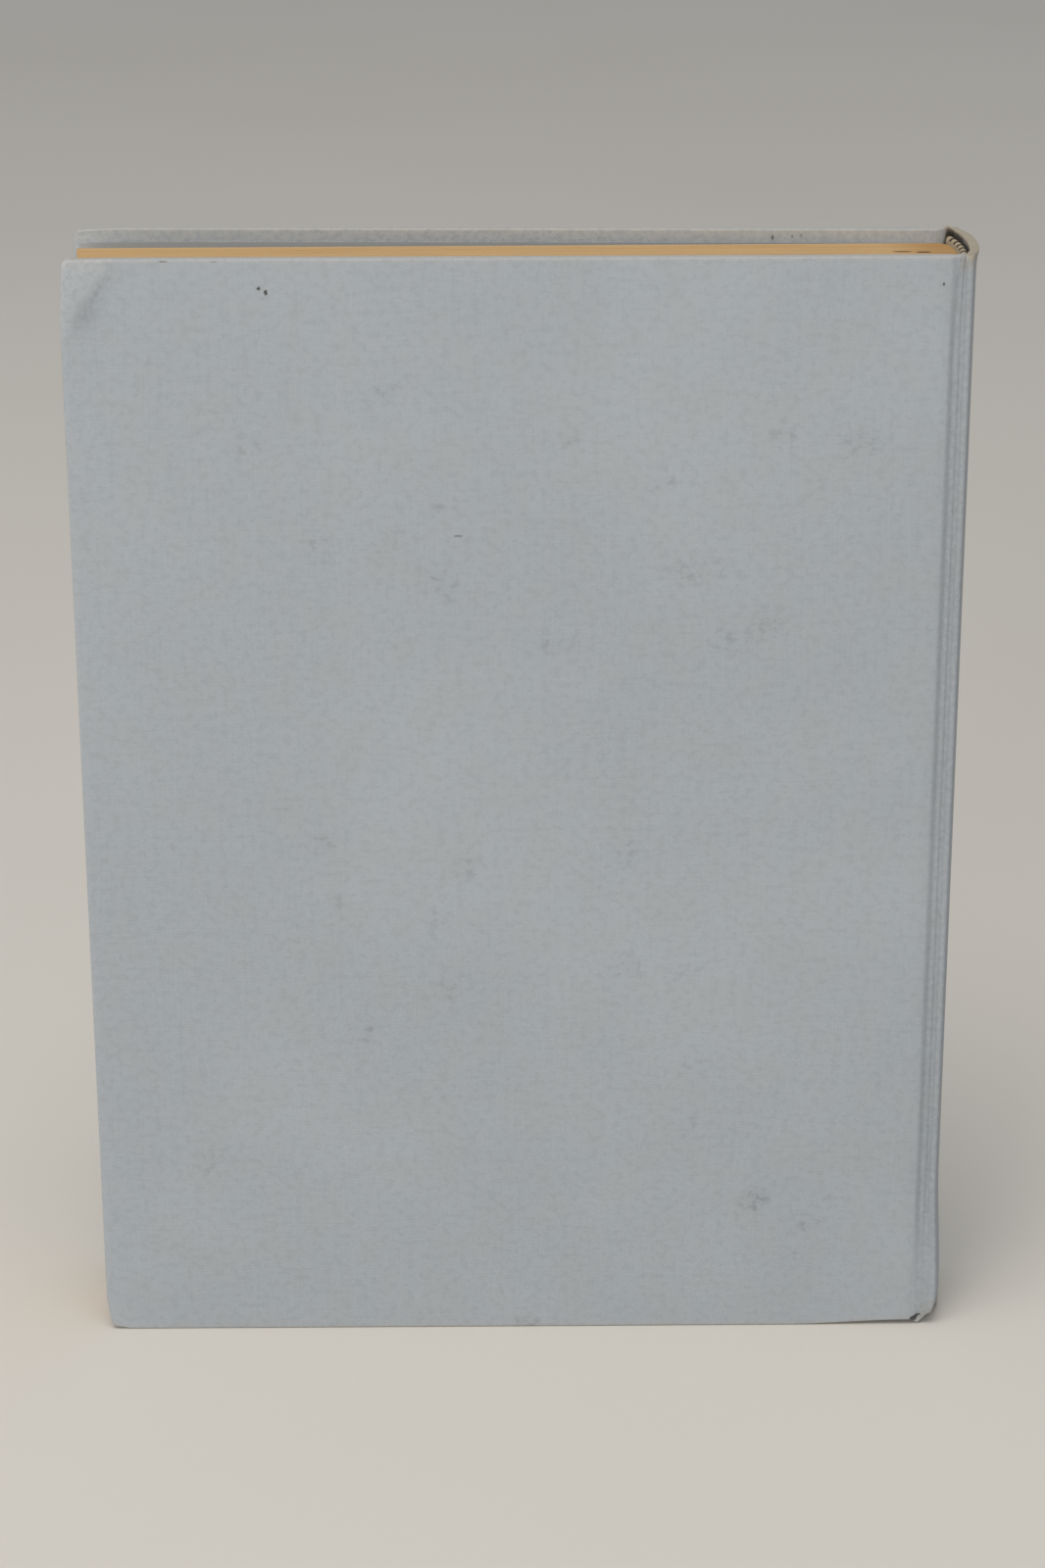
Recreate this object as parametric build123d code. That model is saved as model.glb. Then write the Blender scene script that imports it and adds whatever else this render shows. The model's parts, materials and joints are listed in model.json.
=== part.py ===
"""A cloth-covered hardcover book that stands on its tail, with its front cover slightly ajar.

Millimetres, +Z up. The back cover faces -Y, the front cover +Y and the spine +X.
Until the last step x counts from the joint grooves, y from the middle of the pages' thickness
beside the grooves, and z from the tail of the covers. Then the book is set with the middle of
its bottom at the origin.
"""
from build123d import *
import math
import os

# Pages
page_width = 212.0
page_height = 279.4
block_thickness = 26.6
fore_edge_thickness = 24.8
paper_thickness = 0.15
shoulder_flare = 0.7
flare_length = 3.0

# Covers
board_thickness = 2.1
cloth_thickness = 0.35
head_square = 3.3
fore_square = 1.55
turn_in = 15.0
corner_wear = 2.0
edge_round = 0.6
closing_clearance = 0.05
ajar_angle = 1.37

# Spine and joint grooves
spine_radius = 60.0
spine_reach = 6.6
shoulder_round = 2.0
groove_radius = 1.1
board_round = 1.6
hinge_slit = 0.2
hinge_height = 1.75
inlay_thickness = 0.9
inlay_clearance = 0.1

# Back of the pages
hollow_gap = 2.3
glue_line = 0.05
lining_thickness = 0.4
lining_clearance = 0.2
band_bead_radius = 0.85
band_bead_offset = 1.0
band_tape_thickness = 0.25
band_tape_height = 10.0

# Levels outward from the middle of the pages
block_face = block_thickness / 2
flyleaf_face = block_face + paper_thickness
pastedown_face = flyleaf_face + closing_clearance
turn_in_face = pastedown_face + paper_thickness
board_inner_face = turn_in_face + cloth_thickness
board_outer_face = board_inner_face + board_thickness
cover_face = board_outer_face + cloth_thickness
cover_height = page_height + 2 * head_square
block_top = head_square + page_height

# Centres of the arcs that make up the spine and groove lines
spine_wall = inlay_thickness + 2 * cloth_thickness
block_back_radius = spine_radius - spine_wall - hollow_gap
spine_center = Vector(spine_reach - spine_radius, 0)
groove_center = Vector(0, board_inner_face + 2 * cloth_thickness + groove_radius)
board_round_level = cover_face - board_round
board_round_center = Vector(
    -math.sqrt((board_round + groove_radius) ** 2 - (groove_center.Y - board_round_level) ** 2),
    board_round_level,
)


def crossing(center_a, radius_a, center_b, radius_b):
    """The crossing of two circles that lies to the right of the way from a to b."""
    way = center_b - center_a
    along = (way.length**2 + radius_a**2 - radius_b**2) / (2 * way.length)
    aside = math.sqrt(radius_a**2 - along**2)
    forward = way.normalized()
    right = Vector(forward.Y, -forward.X)
    return center_a + forward * along + right * aside


shoulder_center = crossing(
    spine_center, spine_radius - shoulder_round, groove_center, groove_radius + shoulder_round
)
shoulder_angle = math.atan2(shoulder_center.Y, shoulder_center.X - spine_center.X)
cap_half_angle = shoulder_angle - inlay_clearance / spine_radius
inlay_half_angle = cap_half_angle - cloth_thickness / spine_radius


def toward(start, end, distance):
    """The point at a distance from start on the way to end."""
    return start + (end - start).normalized() * distance


def arc_about(center, start, end):
    """The shorter arc about a centre from start to end."""
    reach = start - center
    middle = center + (reach + end - center).normalized() * reach.length
    return ThreePointArc(start, middle, end)


def outline(*points):
    """Straight lines from each point to the next."""
    return [Line(start, end) for start, end in zip(points, points[1:])]


def groove_point(x, depth):
    """The point of the groove's round at x, at a depth under the outside of the cloth."""
    radius = groove_radius + depth
    return Vector(x, groove_center.Y - math.sqrt(radius**2 - x**2))


def upright(edges, bottom, top):
    """The solid that stands on a closed outline between two heights."""
    return Pos(0, 0, bottom) * extrude(make_face(edges), amount=top - bottom, dir=(0, 0, 1))


def spine_half_line(depth):
    """Half of the spine's section line, from the groove to the spine's middle."""
    start = groove_point(hinge_slit / 2, depth)
    groove_end = toward(groove_center, shoulder_center, groove_radius + depth)
    shoulder_end = toward(spine_center, shoulder_center, spine_radius - depth)
    middle = spine_center + Vector(spine_radius - depth, 0)
    return [
        arc_about(groove_center, start, groove_end),
        arc_about(shoulder_center, groove_end, shoulder_end),
        arc_about(spine_center, shoulder_end, middle),
    ]


def spine_layer(outer_depth, inner_depth, bottom, top):
    """A layer that follows the whole spine line from groove to groove."""
    outer = spine_half_line(outer_depth)
    inner = spine_half_line(inner_depth)
    ends = [Line(outer[0] @ 0, inner[0] @ 0), Line(outer[-1] @ 1, inner[-1] @ 1)]
    half = upright(outer + inner + ends, bottom, top)
    return half + mirror(half, Plane.XZ)


def back_arc(inner_radius, outer_radius, half_angle, bottom, top):
    """A layer about the spine's centre, as wide as twice a half angle."""
    front_way = Vector(math.cos(half_angle), math.sin(half_angle))
    back_way = Vector(front_way.X, -front_way.Y)
    inner_start = spine_center + back_way * inner_radius
    inner_end = spine_center + front_way * inner_radius
    outer_start = spine_center + back_way * outer_radius
    outer_end = spine_center + front_way * outer_radius
    edges = [
        arc_about(spine_center, inner_start, inner_end),
        arc_about(spine_center, outer_start, outer_end),
        Line(inner_start, outer_start),
        Line(inner_end, outer_end),
    ]
    return upright(edges, bottom, top)


# Text block, with backed shoulders and a fore-edge as hollow as its back is round
block_middle = spine_center + Vector(block_back_radius, 0)


def block_back_point(y):
    """The point of the pages' round back at y."""
    return Vector(spine_center.X + math.sqrt(block_back_radius**2 - y**2), y)


shoulder_tip = block_back_point(block_face + shoulder_flare)
lower_tip = block_back_point(-block_face - shoulder_flare)
flare_start = Vector(shoulder_tip.X - flare_length, block_face)
lower_flare_start = Vector(flare_start.X, -block_face)
fore_edge_x = block_back_point(block_face).X - page_width
fore_corner = Vector(fore_edge_x, fore_edge_thickness - block_face)
lower_fore_corner = Vector(fore_edge_x, -block_face)
fore_hollow = Vector(block_middle.X - page_width, (fore_corner.Y + lower_fore_corner.Y) / 2)

text_block = upright(
    [
        ThreePointArc(lower_tip, block_middle, shoulder_tip),
        TangentArc(flare_start, shoulder_tip, tangent=(1, 0)),
        Line(flare_start, fore_corner),
        ThreePointArc(fore_corner, fore_hollow, lower_fore_corner),
        Line(lower_fore_corner, lower_flare_start),
        TangentArc(lower_flare_start, lower_tip, tangent=(1, 0)),
    ],
    head_square,
    block_top,
)


def flyleaf(start, end, outward):
    """A leaf on one face of the block, from its fore-edge to its flare."""
    lift = Vector(0, outward * paper_thickness)
    edges = outline(start, end, end + lift, start + lift, start)
    return upright(edges, head_square, block_top)


front_flyleaf = flyleaf(fore_corner, flare_start, 1)
back_flyleaf = flyleaf(lower_fore_corner, lower_flare_start, -1)

# Lining and bands on the pages' back
band_half_angle = math.asin(block_face / block_back_radius)
lining_start = head_square + band_tape_height + lining_clearance
spine_lining = back_arc(
    block_back_radius + glue_line,
    block_back_radius + glue_line + lining_thickness,
    band_half_angle,
    lining_start,
    cover_height - lining_start,
)


def wound_band():
    """The band at the head: a bead on the pages' edge, with a tape glued down their back."""
    bead_height = block_top + band_bead_radius
    bead_x = block_middle.X + band_bead_offset
    tape_length = band_bead_radius + band_tape_height
    bead = Pos(bead_x, bead_height) * Circle(band_bead_radius)
    tape_x = block_middle.X + glue_line + band_tape_thickness / 2
    tape = Pos(tape_x, bead_height - tape_length / 2) * Rectangle(band_tape_thickness, tape_length)
    section = Plane.XZ * (bead + tape)
    back_axis = Axis((spine_center.X, 0, 0), (0, 0, 1))
    half_turn = math.degrees(band_half_angle)
    return revolve(section, back_axis, 2 * half_turn).rotate(back_axis, -half_turn)


head_band = wound_band()
tail_band = mirror(head_band, Plane.XY.offset(cover_height / 2))

# Spine: a card inlay in cloth that is turned in over its head and tail
spine_inlay = back_arc(
    spine_radius - cloth_thickness - inlay_thickness,
    spine_radius - cloth_thickness,
    inlay_half_angle,
    cloth_thickness,
    cover_height - cloth_thickness,
)


def spine_turn_in(bottom, top):
    """The cloth turned in at one end, over the inlay and doubled beside it."""
    doubled = spine_layer(cloth_thickness, 2 * cloth_thickness, bottom, top)
    cap = back_arc(
        spine_radius - spine_wall, spine_radius - cloth_thickness, cap_half_angle, bottom, top
    )
    return doubled + cap


spine_cloth = spine_layer(0, cloth_thickness, 0, cover_height)
spine_cloth += spine_turn_in(0, turn_in)
spine_cloth += spine_turn_in(cover_height - turn_in, cover_height)
spine_cloth -= spine_inlay

# Covers, modelled once as the closed front cover
cover_fore_x = fore_edge_x - fore_square
board_fore_x = cover_fore_x + cloth_thickness
board_joint = toward(groove_center, board_round_center, groove_radius + cloth_thickness)
cut_outer = groove_point(-hinge_slit / 2, 0)
cut_inner = groove_point(-hinge_slit / 2, 2 * cloth_thickness)
cloth_joint = toward(groove_center, board_round_center, groove_radius)
cloth_flat = Vector(board_round_center.X, cover_face)
board_flat = Vector(board_round_center.X, board_outer_face)
board_inner_joint = Vector(board_joint.X, board_inner_face)


def worn_corners(cover, radius):
    """A board or its wrap with the two fore-edge corners rounded off."""
    corners = cover.edges().filter_by(Axis.Y).group_by(Axis.X)[0]
    return fillet(corners, radius)


cover_board = worn_corners(
    upright(
        [arc_about(board_round_center, board_joint, board_flat)]
        + outline(
            board_flat,
            Vector(board_fore_x, board_outer_face),
            Vector(board_fore_x, board_inner_face),
            board_inner_joint,
            board_joint,
        ),
        cloth_thickness,
        cover_height - cloth_thickness,
    ),
    corner_wear - cloth_thickness,
)

cover_wrap = worn_corners(
    upright(
        [
            arc_about(groove_center, cut_outer, cloth_joint),
            arc_about(board_round_center, cloth_joint, cloth_flat),
        ]
        + outline(
            cloth_flat,
            Vector(cover_fore_x, cover_face),
            Vector(cover_fore_x, turn_in_face),
            Vector(board_joint.X, turn_in_face),
            cut_inner,
            cut_outer,
        ),
        0,
        cover_height,
    ),
    corner_wear,
)

window_fore_x = cover_fore_x + turn_in
window_level = pastedown_face
window_joint = groove_point(hinge_slit / 2, cloth_thickness)
cover_window = upright(
    [arc_about(groove_center, board_joint, window_joint)]
    + outline(
        window_joint,
        Vector(window_joint.X, window_level),
        Vector(window_fore_x, window_level),
        Vector(window_fore_x, board_inner_face),
        board_inner_joint,
        board_joint,
    ),
    turn_in,
    cover_height - turn_in,
)

outer_rim = cover_wrap.faces().sort_by(Axis.Y)[-1].edges()
outer_rim -= outer_rim.sort_by(Axis.X)[-1:]
cover_cloth = fillet(outer_rim, edge_round) - cover_board - cover_window

pastedown_sheet = upright(
    outline(
        Vector(fore_edge_x, turn_in_face),
        Vector(board_joint.X, turn_in_face),
        Vector(board_joint.X, pastedown_face),
        Vector(fore_edge_x, pastedown_face),
        Vector(fore_edge_x, turn_in_face),
    ),
    head_square,
    block_top,
)
pastedown_seat = upright(
    outline(
        Vector(window_fore_x, board_inner_face),
        board_inner_joint,
        Vector(board_joint.X, turn_in_face),
        Vector(window_fore_x, turn_in_face),
        Vector(window_fore_x, board_inner_face),
    ),
    turn_in,
    cover_height - turn_in,
)
cover_pastedown = pastedown_sheet + pastedown_seat

# The back cover is the front one mirrored, and the front cover stands ajar on its hinge
hinge_level = groove_center.Y - groove_radius + hinge_height
front_hinge = Axis((0, hinge_level, 0), (0, 0, -1))

nodes = {
    "text_block": text_block,
    "back_flyleaf": back_flyleaf,
    "front_flyleaf": front_flyleaf,
    "spine_lining": spine_lining,
    "head_band": head_band,
    "tail_band": tail_band,
    "spine_inlay": spine_inlay,
    "spine_cloth": spine_cloth,
}
cover_pieces = {"board": cover_board, "cloth": cover_cloth, "pastedown": cover_pastedown}
for piece, solid in cover_pieces.items():
    nodes[f"back_{piece}"] = mirror(solid, Plane.XZ)
    nodes[f"front_{piece}"] = solid.rotate(front_hinge, ajar_angle)

# Set the middle of the book's bottom at the origin
box = Compound(list(nodes.values())).bounding_box()
to_origin = Pos(-(box.min.X + box.max.X) / 2, -(box.min.Y + box.max.Y) / 2, -box.min.Z)

os.makedirs("parts", exist_ok=True)
for name, solid in nodes.items():
    export_step(to_origin * solid, f"parts/{name}.step")

hinge_x = to_origin.position.X
front_hinge_y = to_origin.position.Y + hinge_level
back_hinge_y = to_origin.position.Y - hinge_level
print(f"size {box.size.X:.3f} x {box.size.Y:.3f} x {box.size.Z:.3f}")
print(f"front hinge at x {hinge_x:.4f}, y {front_hinge_y:.4f}")
print(f"back hinge at x {hinge_x:.4f}, y {back_hinge_y:.4f}")
print(f"back face at y {to_origin.position.Y - cover_face:.4f}")
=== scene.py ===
# %% [markdown]
# # A cloth-bound hardcover book
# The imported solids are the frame: they hold the sizes, the two cover hinges and the weight.
# This lesson dresses them. The case cloth, the leaves, the endpapers and the sewn bands are made
# again as fine meshes, and every surface gets a finish built from shader nodes.

# %% Load the frame
import json
import math

import bpy
import numpy as np
from mathutils import Matrix, Vector, noise


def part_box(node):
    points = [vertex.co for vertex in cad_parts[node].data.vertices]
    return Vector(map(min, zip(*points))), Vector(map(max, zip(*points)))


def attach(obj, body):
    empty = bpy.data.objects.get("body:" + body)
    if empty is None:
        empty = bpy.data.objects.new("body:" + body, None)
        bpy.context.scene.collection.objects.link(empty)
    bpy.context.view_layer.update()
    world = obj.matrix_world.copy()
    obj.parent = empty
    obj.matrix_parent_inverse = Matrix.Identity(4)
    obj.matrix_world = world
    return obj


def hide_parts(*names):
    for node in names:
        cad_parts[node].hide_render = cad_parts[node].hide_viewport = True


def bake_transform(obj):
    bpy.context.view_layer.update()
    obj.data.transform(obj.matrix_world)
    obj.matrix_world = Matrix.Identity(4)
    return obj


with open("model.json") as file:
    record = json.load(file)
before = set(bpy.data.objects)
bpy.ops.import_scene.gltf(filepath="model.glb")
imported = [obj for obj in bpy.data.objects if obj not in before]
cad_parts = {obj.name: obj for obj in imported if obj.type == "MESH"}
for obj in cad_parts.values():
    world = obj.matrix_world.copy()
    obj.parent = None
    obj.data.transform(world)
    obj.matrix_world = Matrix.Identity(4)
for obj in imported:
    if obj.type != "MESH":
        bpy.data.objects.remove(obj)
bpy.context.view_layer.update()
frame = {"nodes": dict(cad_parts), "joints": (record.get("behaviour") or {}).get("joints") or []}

# %% [markdown]
# ## The book's own axes
# A bookbinder measures from the joint, the groove beside the spine. So x counts from the groove,
# y from the middle of the pages' thickness and z from the tail, all in millimetres. The hinges
# give the origin of those axes, and the nodes' boxes give most of the sizes.

# %% Sizes read from the frame
MILLIMETRES = 1000.0
hinge = {joint["child"]: np.array(joint["pos_m"]) * MILLIMETRES for joint in frame["joints"]}
origin = np.array((
    hinge["back_cover"][0],
    (hinge["back_cover"][1] + hinge["front_cover"][1]) / 2,
    0.0,
))
hinge_level = hinge["front_cover"][1] - origin[1]


def node_box(node):
    """The lowest and highest corner of a node, in the book's own axes."""
    low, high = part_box(node)
    return np.array(low) * MILLIMETRES - origin, np.array(high) * MILLIMETRES - origin


cloth_low, cloth_high = node_box("back_cloth")
board_low, board_high = node_box("back_board")
block_low, block_high = node_box("text_block")
fly_high = node_box("back_flyleaf")[1]
paste_high = node_box("back_pastedown")[1]
spine_high = node_box("spine_cloth")[1]

height = cloth_high[2]
fore_x = cloth_low[0]
cover_face = -cloth_low[1]
turn_in_face = -cloth_high[1]
board_outer = -board_low[1]
board_inner = -board_high[1]
board_joint_x = board_high[0]
cloth_thickness = cover_face - board_outer
block_face = -fly_high[1]
page_fore_x = block_low[0]
back_apex_x = block_high[0]
spine_apex_x = spine_high[0]
paper_thickness = 0.13
print(f"cover {height:.1f} high, {cover_face - turn_in_face:.2f} thick, groove to fore-edge {-fore_x:.2f}")

# %% [markdown]
# ## The section of the case
# Seen from above, one cloth runs from the fore-edge over the board, down into the groove, up over
# the shoulder and round the spine. The board's face is straight and the spine is an arc. Between
# them a smooth curve goes through a few chosen points, with a low ridge in the groove where the
# cloth was pressed. Each point of the outside has a partner on the inside, so the edge of the case
# can be closed between the two.

# %% Spine arc and joint curve
turn_in = 15.0
edge_round = 0.6
inner_round = 0.4
spine_radius = 60.0
inlay_thickness = 0.9
ajar_angle = math.radians(1.37)
spine_wall = inlay_thickness + 2 * cloth_thickness
spine_center = np.array((spine_apex_x - spine_radius, 0.0))
shoulder_angle = math.radians(15.0)
inner_shoulder_angle = math.radians(13.5)
joint_outside = (
    (-1.3, 16.45), (-0.8, 16.33), (-0.3, 16.02), (0.15, 15.66), (0.6, 15.43), (1.1, 15.42),
    (1.55, 15.46), (2.0, 15.26), (2.38, 15.24), (2.7, 15.52), (3.0, 15.98), (3.4, 16.3),
    (3.9, 16.37), (4.25, 16.24), (4.45, 15.97),
)
joint_inside = (
    (-1.36, 13.65), (0.0, 14.0), (1.2, 14.16), (2.0, 14.3), (2.6, 14.66), (3.0, 14.6), (3.3, 14.2),
)
curve_steps = 12


def arc(center, radius, angles):
    """Points about a centre, at a radius."""
    return np.column_stack((center[0] + radius * np.cos(angles), center[1] + radius * np.sin(angles)))


def smooth_through(points, count):
    """A smooth curve through points, in evenly spaced steps."""
    points = np.array(points)
    padded = np.concatenate(([2 * points[0] - points[1]], points, [2 * points[-1] - points[-2]]))
    fine = []
    for first, second, third, fourth in zip(padded, padded[1:], padded[2:], padded[3:]):
        for step in np.linspace(0.0, 1.0, curve_steps, endpoint=False):
            bend = (2 * first - 5 * second + 4 * third - fourth) * step**2
            twist = (3 * second - first - 3 * third + fourth) * step**3
            fine.append(0.5 * (2 * second + (third - first) * step + bend + twist))
    fine = np.array(fine + [points[-1]])
    lengths = np.concatenate(([0.0], np.cumsum(np.linalg.norm(np.diff(fine, axis=0), axis=1))))
    even = np.linspace(0.0, lengths[-1], count)
    return np.column_stack([np.interp(even, lengths, fine[:, axis]) for axis in (0, 1)])


# %% Matched outside and inside lines of one half
# The seam lies past the stretch that bends with the back cover, on both lines.
turn_in_stations = 17
board_stations = 72
joint_stations = 44
spine_stations = 28
hinge_half_width = 0.8
seam_x = hinge_half_width + 0.15


def half_section():
    """Outside and inside points from fore-edge to spine's middle, lengths along the cloth and the seam."""
    near_edge = np.linspace(edge_round, turn_in, turn_in_stations)
    across = np.linspace(turn_in, joint_outside[0][0] - fore_x, board_stations)[1:-1]
    flat_x = fore_x + np.concatenate((near_edge, across))
    spine_angles = np.linspace(shoulder_angle, 0.0, spine_stations)
    inner_angles = np.linspace(inner_shoulder_angle, 0.0, spine_stations)
    spine_outside = arc(spine_center, spine_radius, spine_angles)
    spine_inside = arc(spine_center, spine_radius - spine_wall, inner_angles)
    outer = np.concatenate((
        np.column_stack((flat_x, np.full(len(flat_x), cover_face))),
        smooth_through((*joint_outside, spine_outside[0]), joint_stations),
        spine_outside[1:],
    ))
    inner = np.concatenate((
        np.column_stack((flat_x, np.full(len(flat_x), turn_in_face))),
        smooth_through((*joint_inside, spine_inside[0]), joint_stations),
        spine_inside[1:],
    ))
    inner[0, 0] = fore_x + inner_round
    steps = np.linalg.norm(np.diff(outer, axis=0), axis=1)
    along = edge_round + np.concatenate(([0.0], np.cumsum(steps)))
    clear = np.minimum(outer[:, 0], inner[:, 0]) > seam_x
    seam = int(np.argmax(clear)) + 1
    return outer, inner, along, seam


half_outer, half_inner, half_along, seam_station = half_section()
print(f"{len(half_outer)} stations in a half, {half_along[-1]:.1f} mm of cloth to the spine's middle")

# %% [markdown]
# ## Wear as shape
# This book has been handled: corners are bumped, one corner is creased, and the spine's ends are
# flared and crushed. Those are shapes, so they are moves of the mesh's points. One function moves
# the cloth, the board under it and the paper on it alike, so that nothing pokes through.

# %% Soft shapes for dents
# A span is a pair: where a change starts, and where it is full.
# A place is four lengths: a middle and a width across, then a middle and a length along.
def ease(value):
    """A smooth step from 0 to 1."""
    value = np.clip(value, 0.0, 1.0)
    return value * value * (3.0 - 2.0 * value)


def rise(value, span):
    """A smooth step over a span."""
    return ease((value - span[0]) / (span[1] - span[0]))


def slope_down(value, reach):
    """A straight slope from 1 at 0 to 0 at a reach."""
    return np.clip(1.0 - value / reach, 0.0, 1.0)


def bell(value, width):
    """A bump of height 1 at 0."""
    return np.exp(-((value / width) ** 2))


def spot(across, along, place):
    """A soft bump of height 1 at a place."""
    middle_across, width, middle_along, length = place
    return bell(across - middle_across, width) * bell(along - middle_along, length)


def wander(points, scale, seed):
    """Smooth noise at each point, from about -1 to 1."""
    offset = Vector((seed, seed * 0.37, seed * 0.71))
    return np.array([noise.noise(Vector(point) * scale + offset) for point in points])


# %% Dents of the covers
# Places on a cover count from the fore-edge and from the head.
bumped_corner_round = 1.4
plain_corner_round = 2.0
head_corner_push = 0.8
head_corner_place = (0.0, 8.0, 0.0, 11.0)
crease_top = np.array((12.5, 1.6))
crease_low = np.array((2.5, 17.7))
fold_slope = 0.055
crease_depth = 0.14
crease_width = 0.9
crease_place = (7.0, 9.0, 9.0, 14.0)
tail_corner_push = 1.1
tail_corner_height = 8.5
tail_corner_width = 9.0
tail_corner_rise = 0.9
tail_corner_length = 5.5
tail_lift = 1.2
tail_lift_span = (-34.0, -2.0)
tail_span = (12.0, 0.0)
front_corner_drop = 0.5
front_corner_width = 6.0
front_corner_span = (16.0, 0.0)


def past_crease(points):
    """How far points lie past the crease, towards the back cover's head corner."""
    line = (crease_low - crease_top) / np.linalg.norm(crease_low - crease_top)
    toward_corner = np.array((-line[1], line[0]))
    if toward_corner[0] > 0:
        toward_corner = -toward_corner
    across = points[:, 0] - fore_x - crease_top[0]
    down = height - points[:, 2] - crease_top[1]
    return across * toward_corner[0] + down * toward_corner[1]


def dent_back_cover(points):
    """The back cover's creased head corner, its bumped tail corner and its tail, lifted by the joint."""
    from_fore = points[:, 0] - fore_x
    from_head = height - points[:, 2]
    points[:, 0] += head_corner_push * spot(from_fore, from_head, head_corner_place)
    past = past_crease(points)
    points[:, 1] -= fold_slope * np.maximum(past, 0.0)
    points[:, 1] += crease_depth * bell(past, crease_width) * spot(from_fore, from_head, crease_place)
    up, across = points[:, 2].copy(), np.maximum(from_fore, 0.0)
    points[:, 0] += tail_corner_push * slope_down(up, tail_corner_height) * bell(across, tail_corner_width)
    points[:, 2] += tail_corner_rise * slope_down(across, tail_corner_length) * rise(up, tail_span)
    points[:, 2] += tail_lift * rise(points[:, 0], tail_lift_span) * rise(up, tail_span)


def dent_front_cover(points):
    """The front cover's bumped head corner."""
    from_fore = points[:, 0] - fore_x
    from_head = height - points[:, 2]
    dropped = bell(from_fore, front_corner_width) * rise(from_head, front_corner_span)
    points[:, 2] -= front_corner_drop * dropped


# %% The spine's flared cap, bulging tail and crushed corner
# Spans on the spine count from the groove, from the middle of the pages, or from an end.
cap_flare = 0.75
cap_flare_fall = 1.7
cap_flare_sides = (14.0, 8.0)
tail_bulge = 1.25
tail_bulge_up = (44.0, 8.0)
tail_bulge_across = (13.0, -3.0)
tail_bulge_out = (1.5, 4.0)
crush_across = (-4.0, -13.0)
crush_start = 0.9
crush_length = 3.6
crush_most = 1.1
crush_height = 9.5
crush_power = 1.6
crush_rise = 3.0
crush_push = 1.1
ruck_size = 0.5
ruck_scale = 0.8
ruck_seed = 5.0


def swell_spine(points):
    """The flared head cap and the bulging tail, both away from the spine's centre."""
    away = points[:, :2] - spine_center
    radial = away / np.linalg.norm(away, axis=1)[:, None]
    flared = cap_flare * np.exp((points[:, 2] - height) / cap_flare_fall)
    flared *= rise(np.abs(points[:, 1]), cap_flare_sides)
    bulged = tail_bulge * rise(points[:, 2], tail_bulge_up)
    bulged *= rise(points[:, 1], tail_bulge_across) * rise(points[:, 0], tail_bulge_out)
    points[:, :2] += radial * (flared + bulged)[:, None]


def crush_tail_corner(points):
    """The spine's tail corner by the back cover, crushed up and in."""
    outward = np.clip((points[:, 0] - crush_start) / crush_length, 0.0, crush_most)
    crush = rise(points[:, 1], crush_across) * outward
    crush *= slope_down(points[:, 2], crush_height) ** crush_power
    ruck = wander(points * np.array((0.0, 1.0, 1.0)), ruck_scale, ruck_seed)
    points[:, 2] += (crush_rise + ruck_size * ruck) * crush
    points[:, 0] -= crush_push * crush


# %% The back groove's worn ends
back_joint_span = (-9.0, -12.0)
far_joint_span = (9.0, 12.0)
groove_head_span = (18.0, 2.0)
groove_tail_span = (40.0, 4.0)
groove_fill_head = 0.1
groove_fill_tail = 0.75
groove_fill_gap = 0.15
groove_fill_side = 14.9
groove_fill_out = (3.8, 3.0)
groove_shift = 0.5
groove_shift_middle = 0.7
groove_shift_width = 1.4
joint_lift_span = (1.6, -0.9)
head_lump_place = (1.9, 0.95, 1.1, 1.35)
head_lump_out = 1.7
head_lump_up = 0.7
lump_unevenness = 0.6
lump_scale = 0.75
lump_seed = 9.0
far_point_place = (1.6, 1.1, 0.0, 1.6)
far_point_up = 0.7
tail_pit_place = (1.0, 0.6, 2.2, 0.9)
tail_pit_depth = 0.6


def wear_back_groove(points, from_head, back_joint):
    """The back groove, shallower and a little aside at its ends, and lifted at the tail with its cover."""
    at_head = rise(from_head, groove_head_span) * back_joint
    at_tail = rise(points[:, 2], groove_tail_span) * back_joint
    depth = np.maximum(cover_face - groove_fill_gap + points[:, 1], 0.0)
    depth *= (points[:, 1] < -groove_fill_side) * rise(points[:, 0], groove_fill_out)
    points[:, 1] -= np.maximum(groove_fill_tail * at_tail, groove_fill_head * at_head) * depth
    points[:, 0] += groove_shift * bell(points[:, 0] - groove_shift_middle, groove_shift_width) * at_head
    lifted = rise(points[:, 0], joint_lift_span) * rise(points[:, 2], tail_span) * back_joint
    points[:, 2] += tail_lift * lifted


def ruffle_ends(points, from_head, back_joint):
    """The lump at the head of the back groove, the cap's far point and a pit at the tail."""
    lump = spot(points[:, 0], from_head, head_lump_place) * back_joint
    lump *= 1.0 + lump_unevenness * wander(points, lump_scale, lump_seed)
    points[:, 1] -= head_lump_out * lump
    points[:, 2] += head_lump_up * lump
    far_point = spot(points[:, 0], from_head, far_point_place) * rise(points[:, 1], far_joint_span)
    points[:, 2] += far_point_up * far_point
    points[:, 1] += tail_pit_depth * spot(points[:, 0], points[:, 2], tail_pit_place) * back_joint


def dent_spine(points):
    """All the wear of the spine and its grooves."""
    from_head = height - points[:, 2]
    swell_spine(points)
    crush_tail_corner(points)
    back_joint = rise(points[:, 1], back_joint_span)
    wear_back_groove(points, from_head, back_joint)
    ruffle_ends(points, from_head, back_joint)


# %% Wear for any piece of the case
cover_side_x = -0.9


def worn(points):
    """Points of the closed book in the book's own axes, moved as wear has moved them."""
    points = np.array(points)
    on_cover = points[:, 0] < cover_side_x
    for dent, chosen in (
        (dent_back_cover, on_cover & (points[:, 1] < 0)),
        (dent_front_cover, on_cover & (points[:, 1] > 0)),
        (dent_spine, ~on_cover),
    ):
        moved = points[chosen]
        dent(moved)
        points[chosen] = moved
    return points


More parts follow.
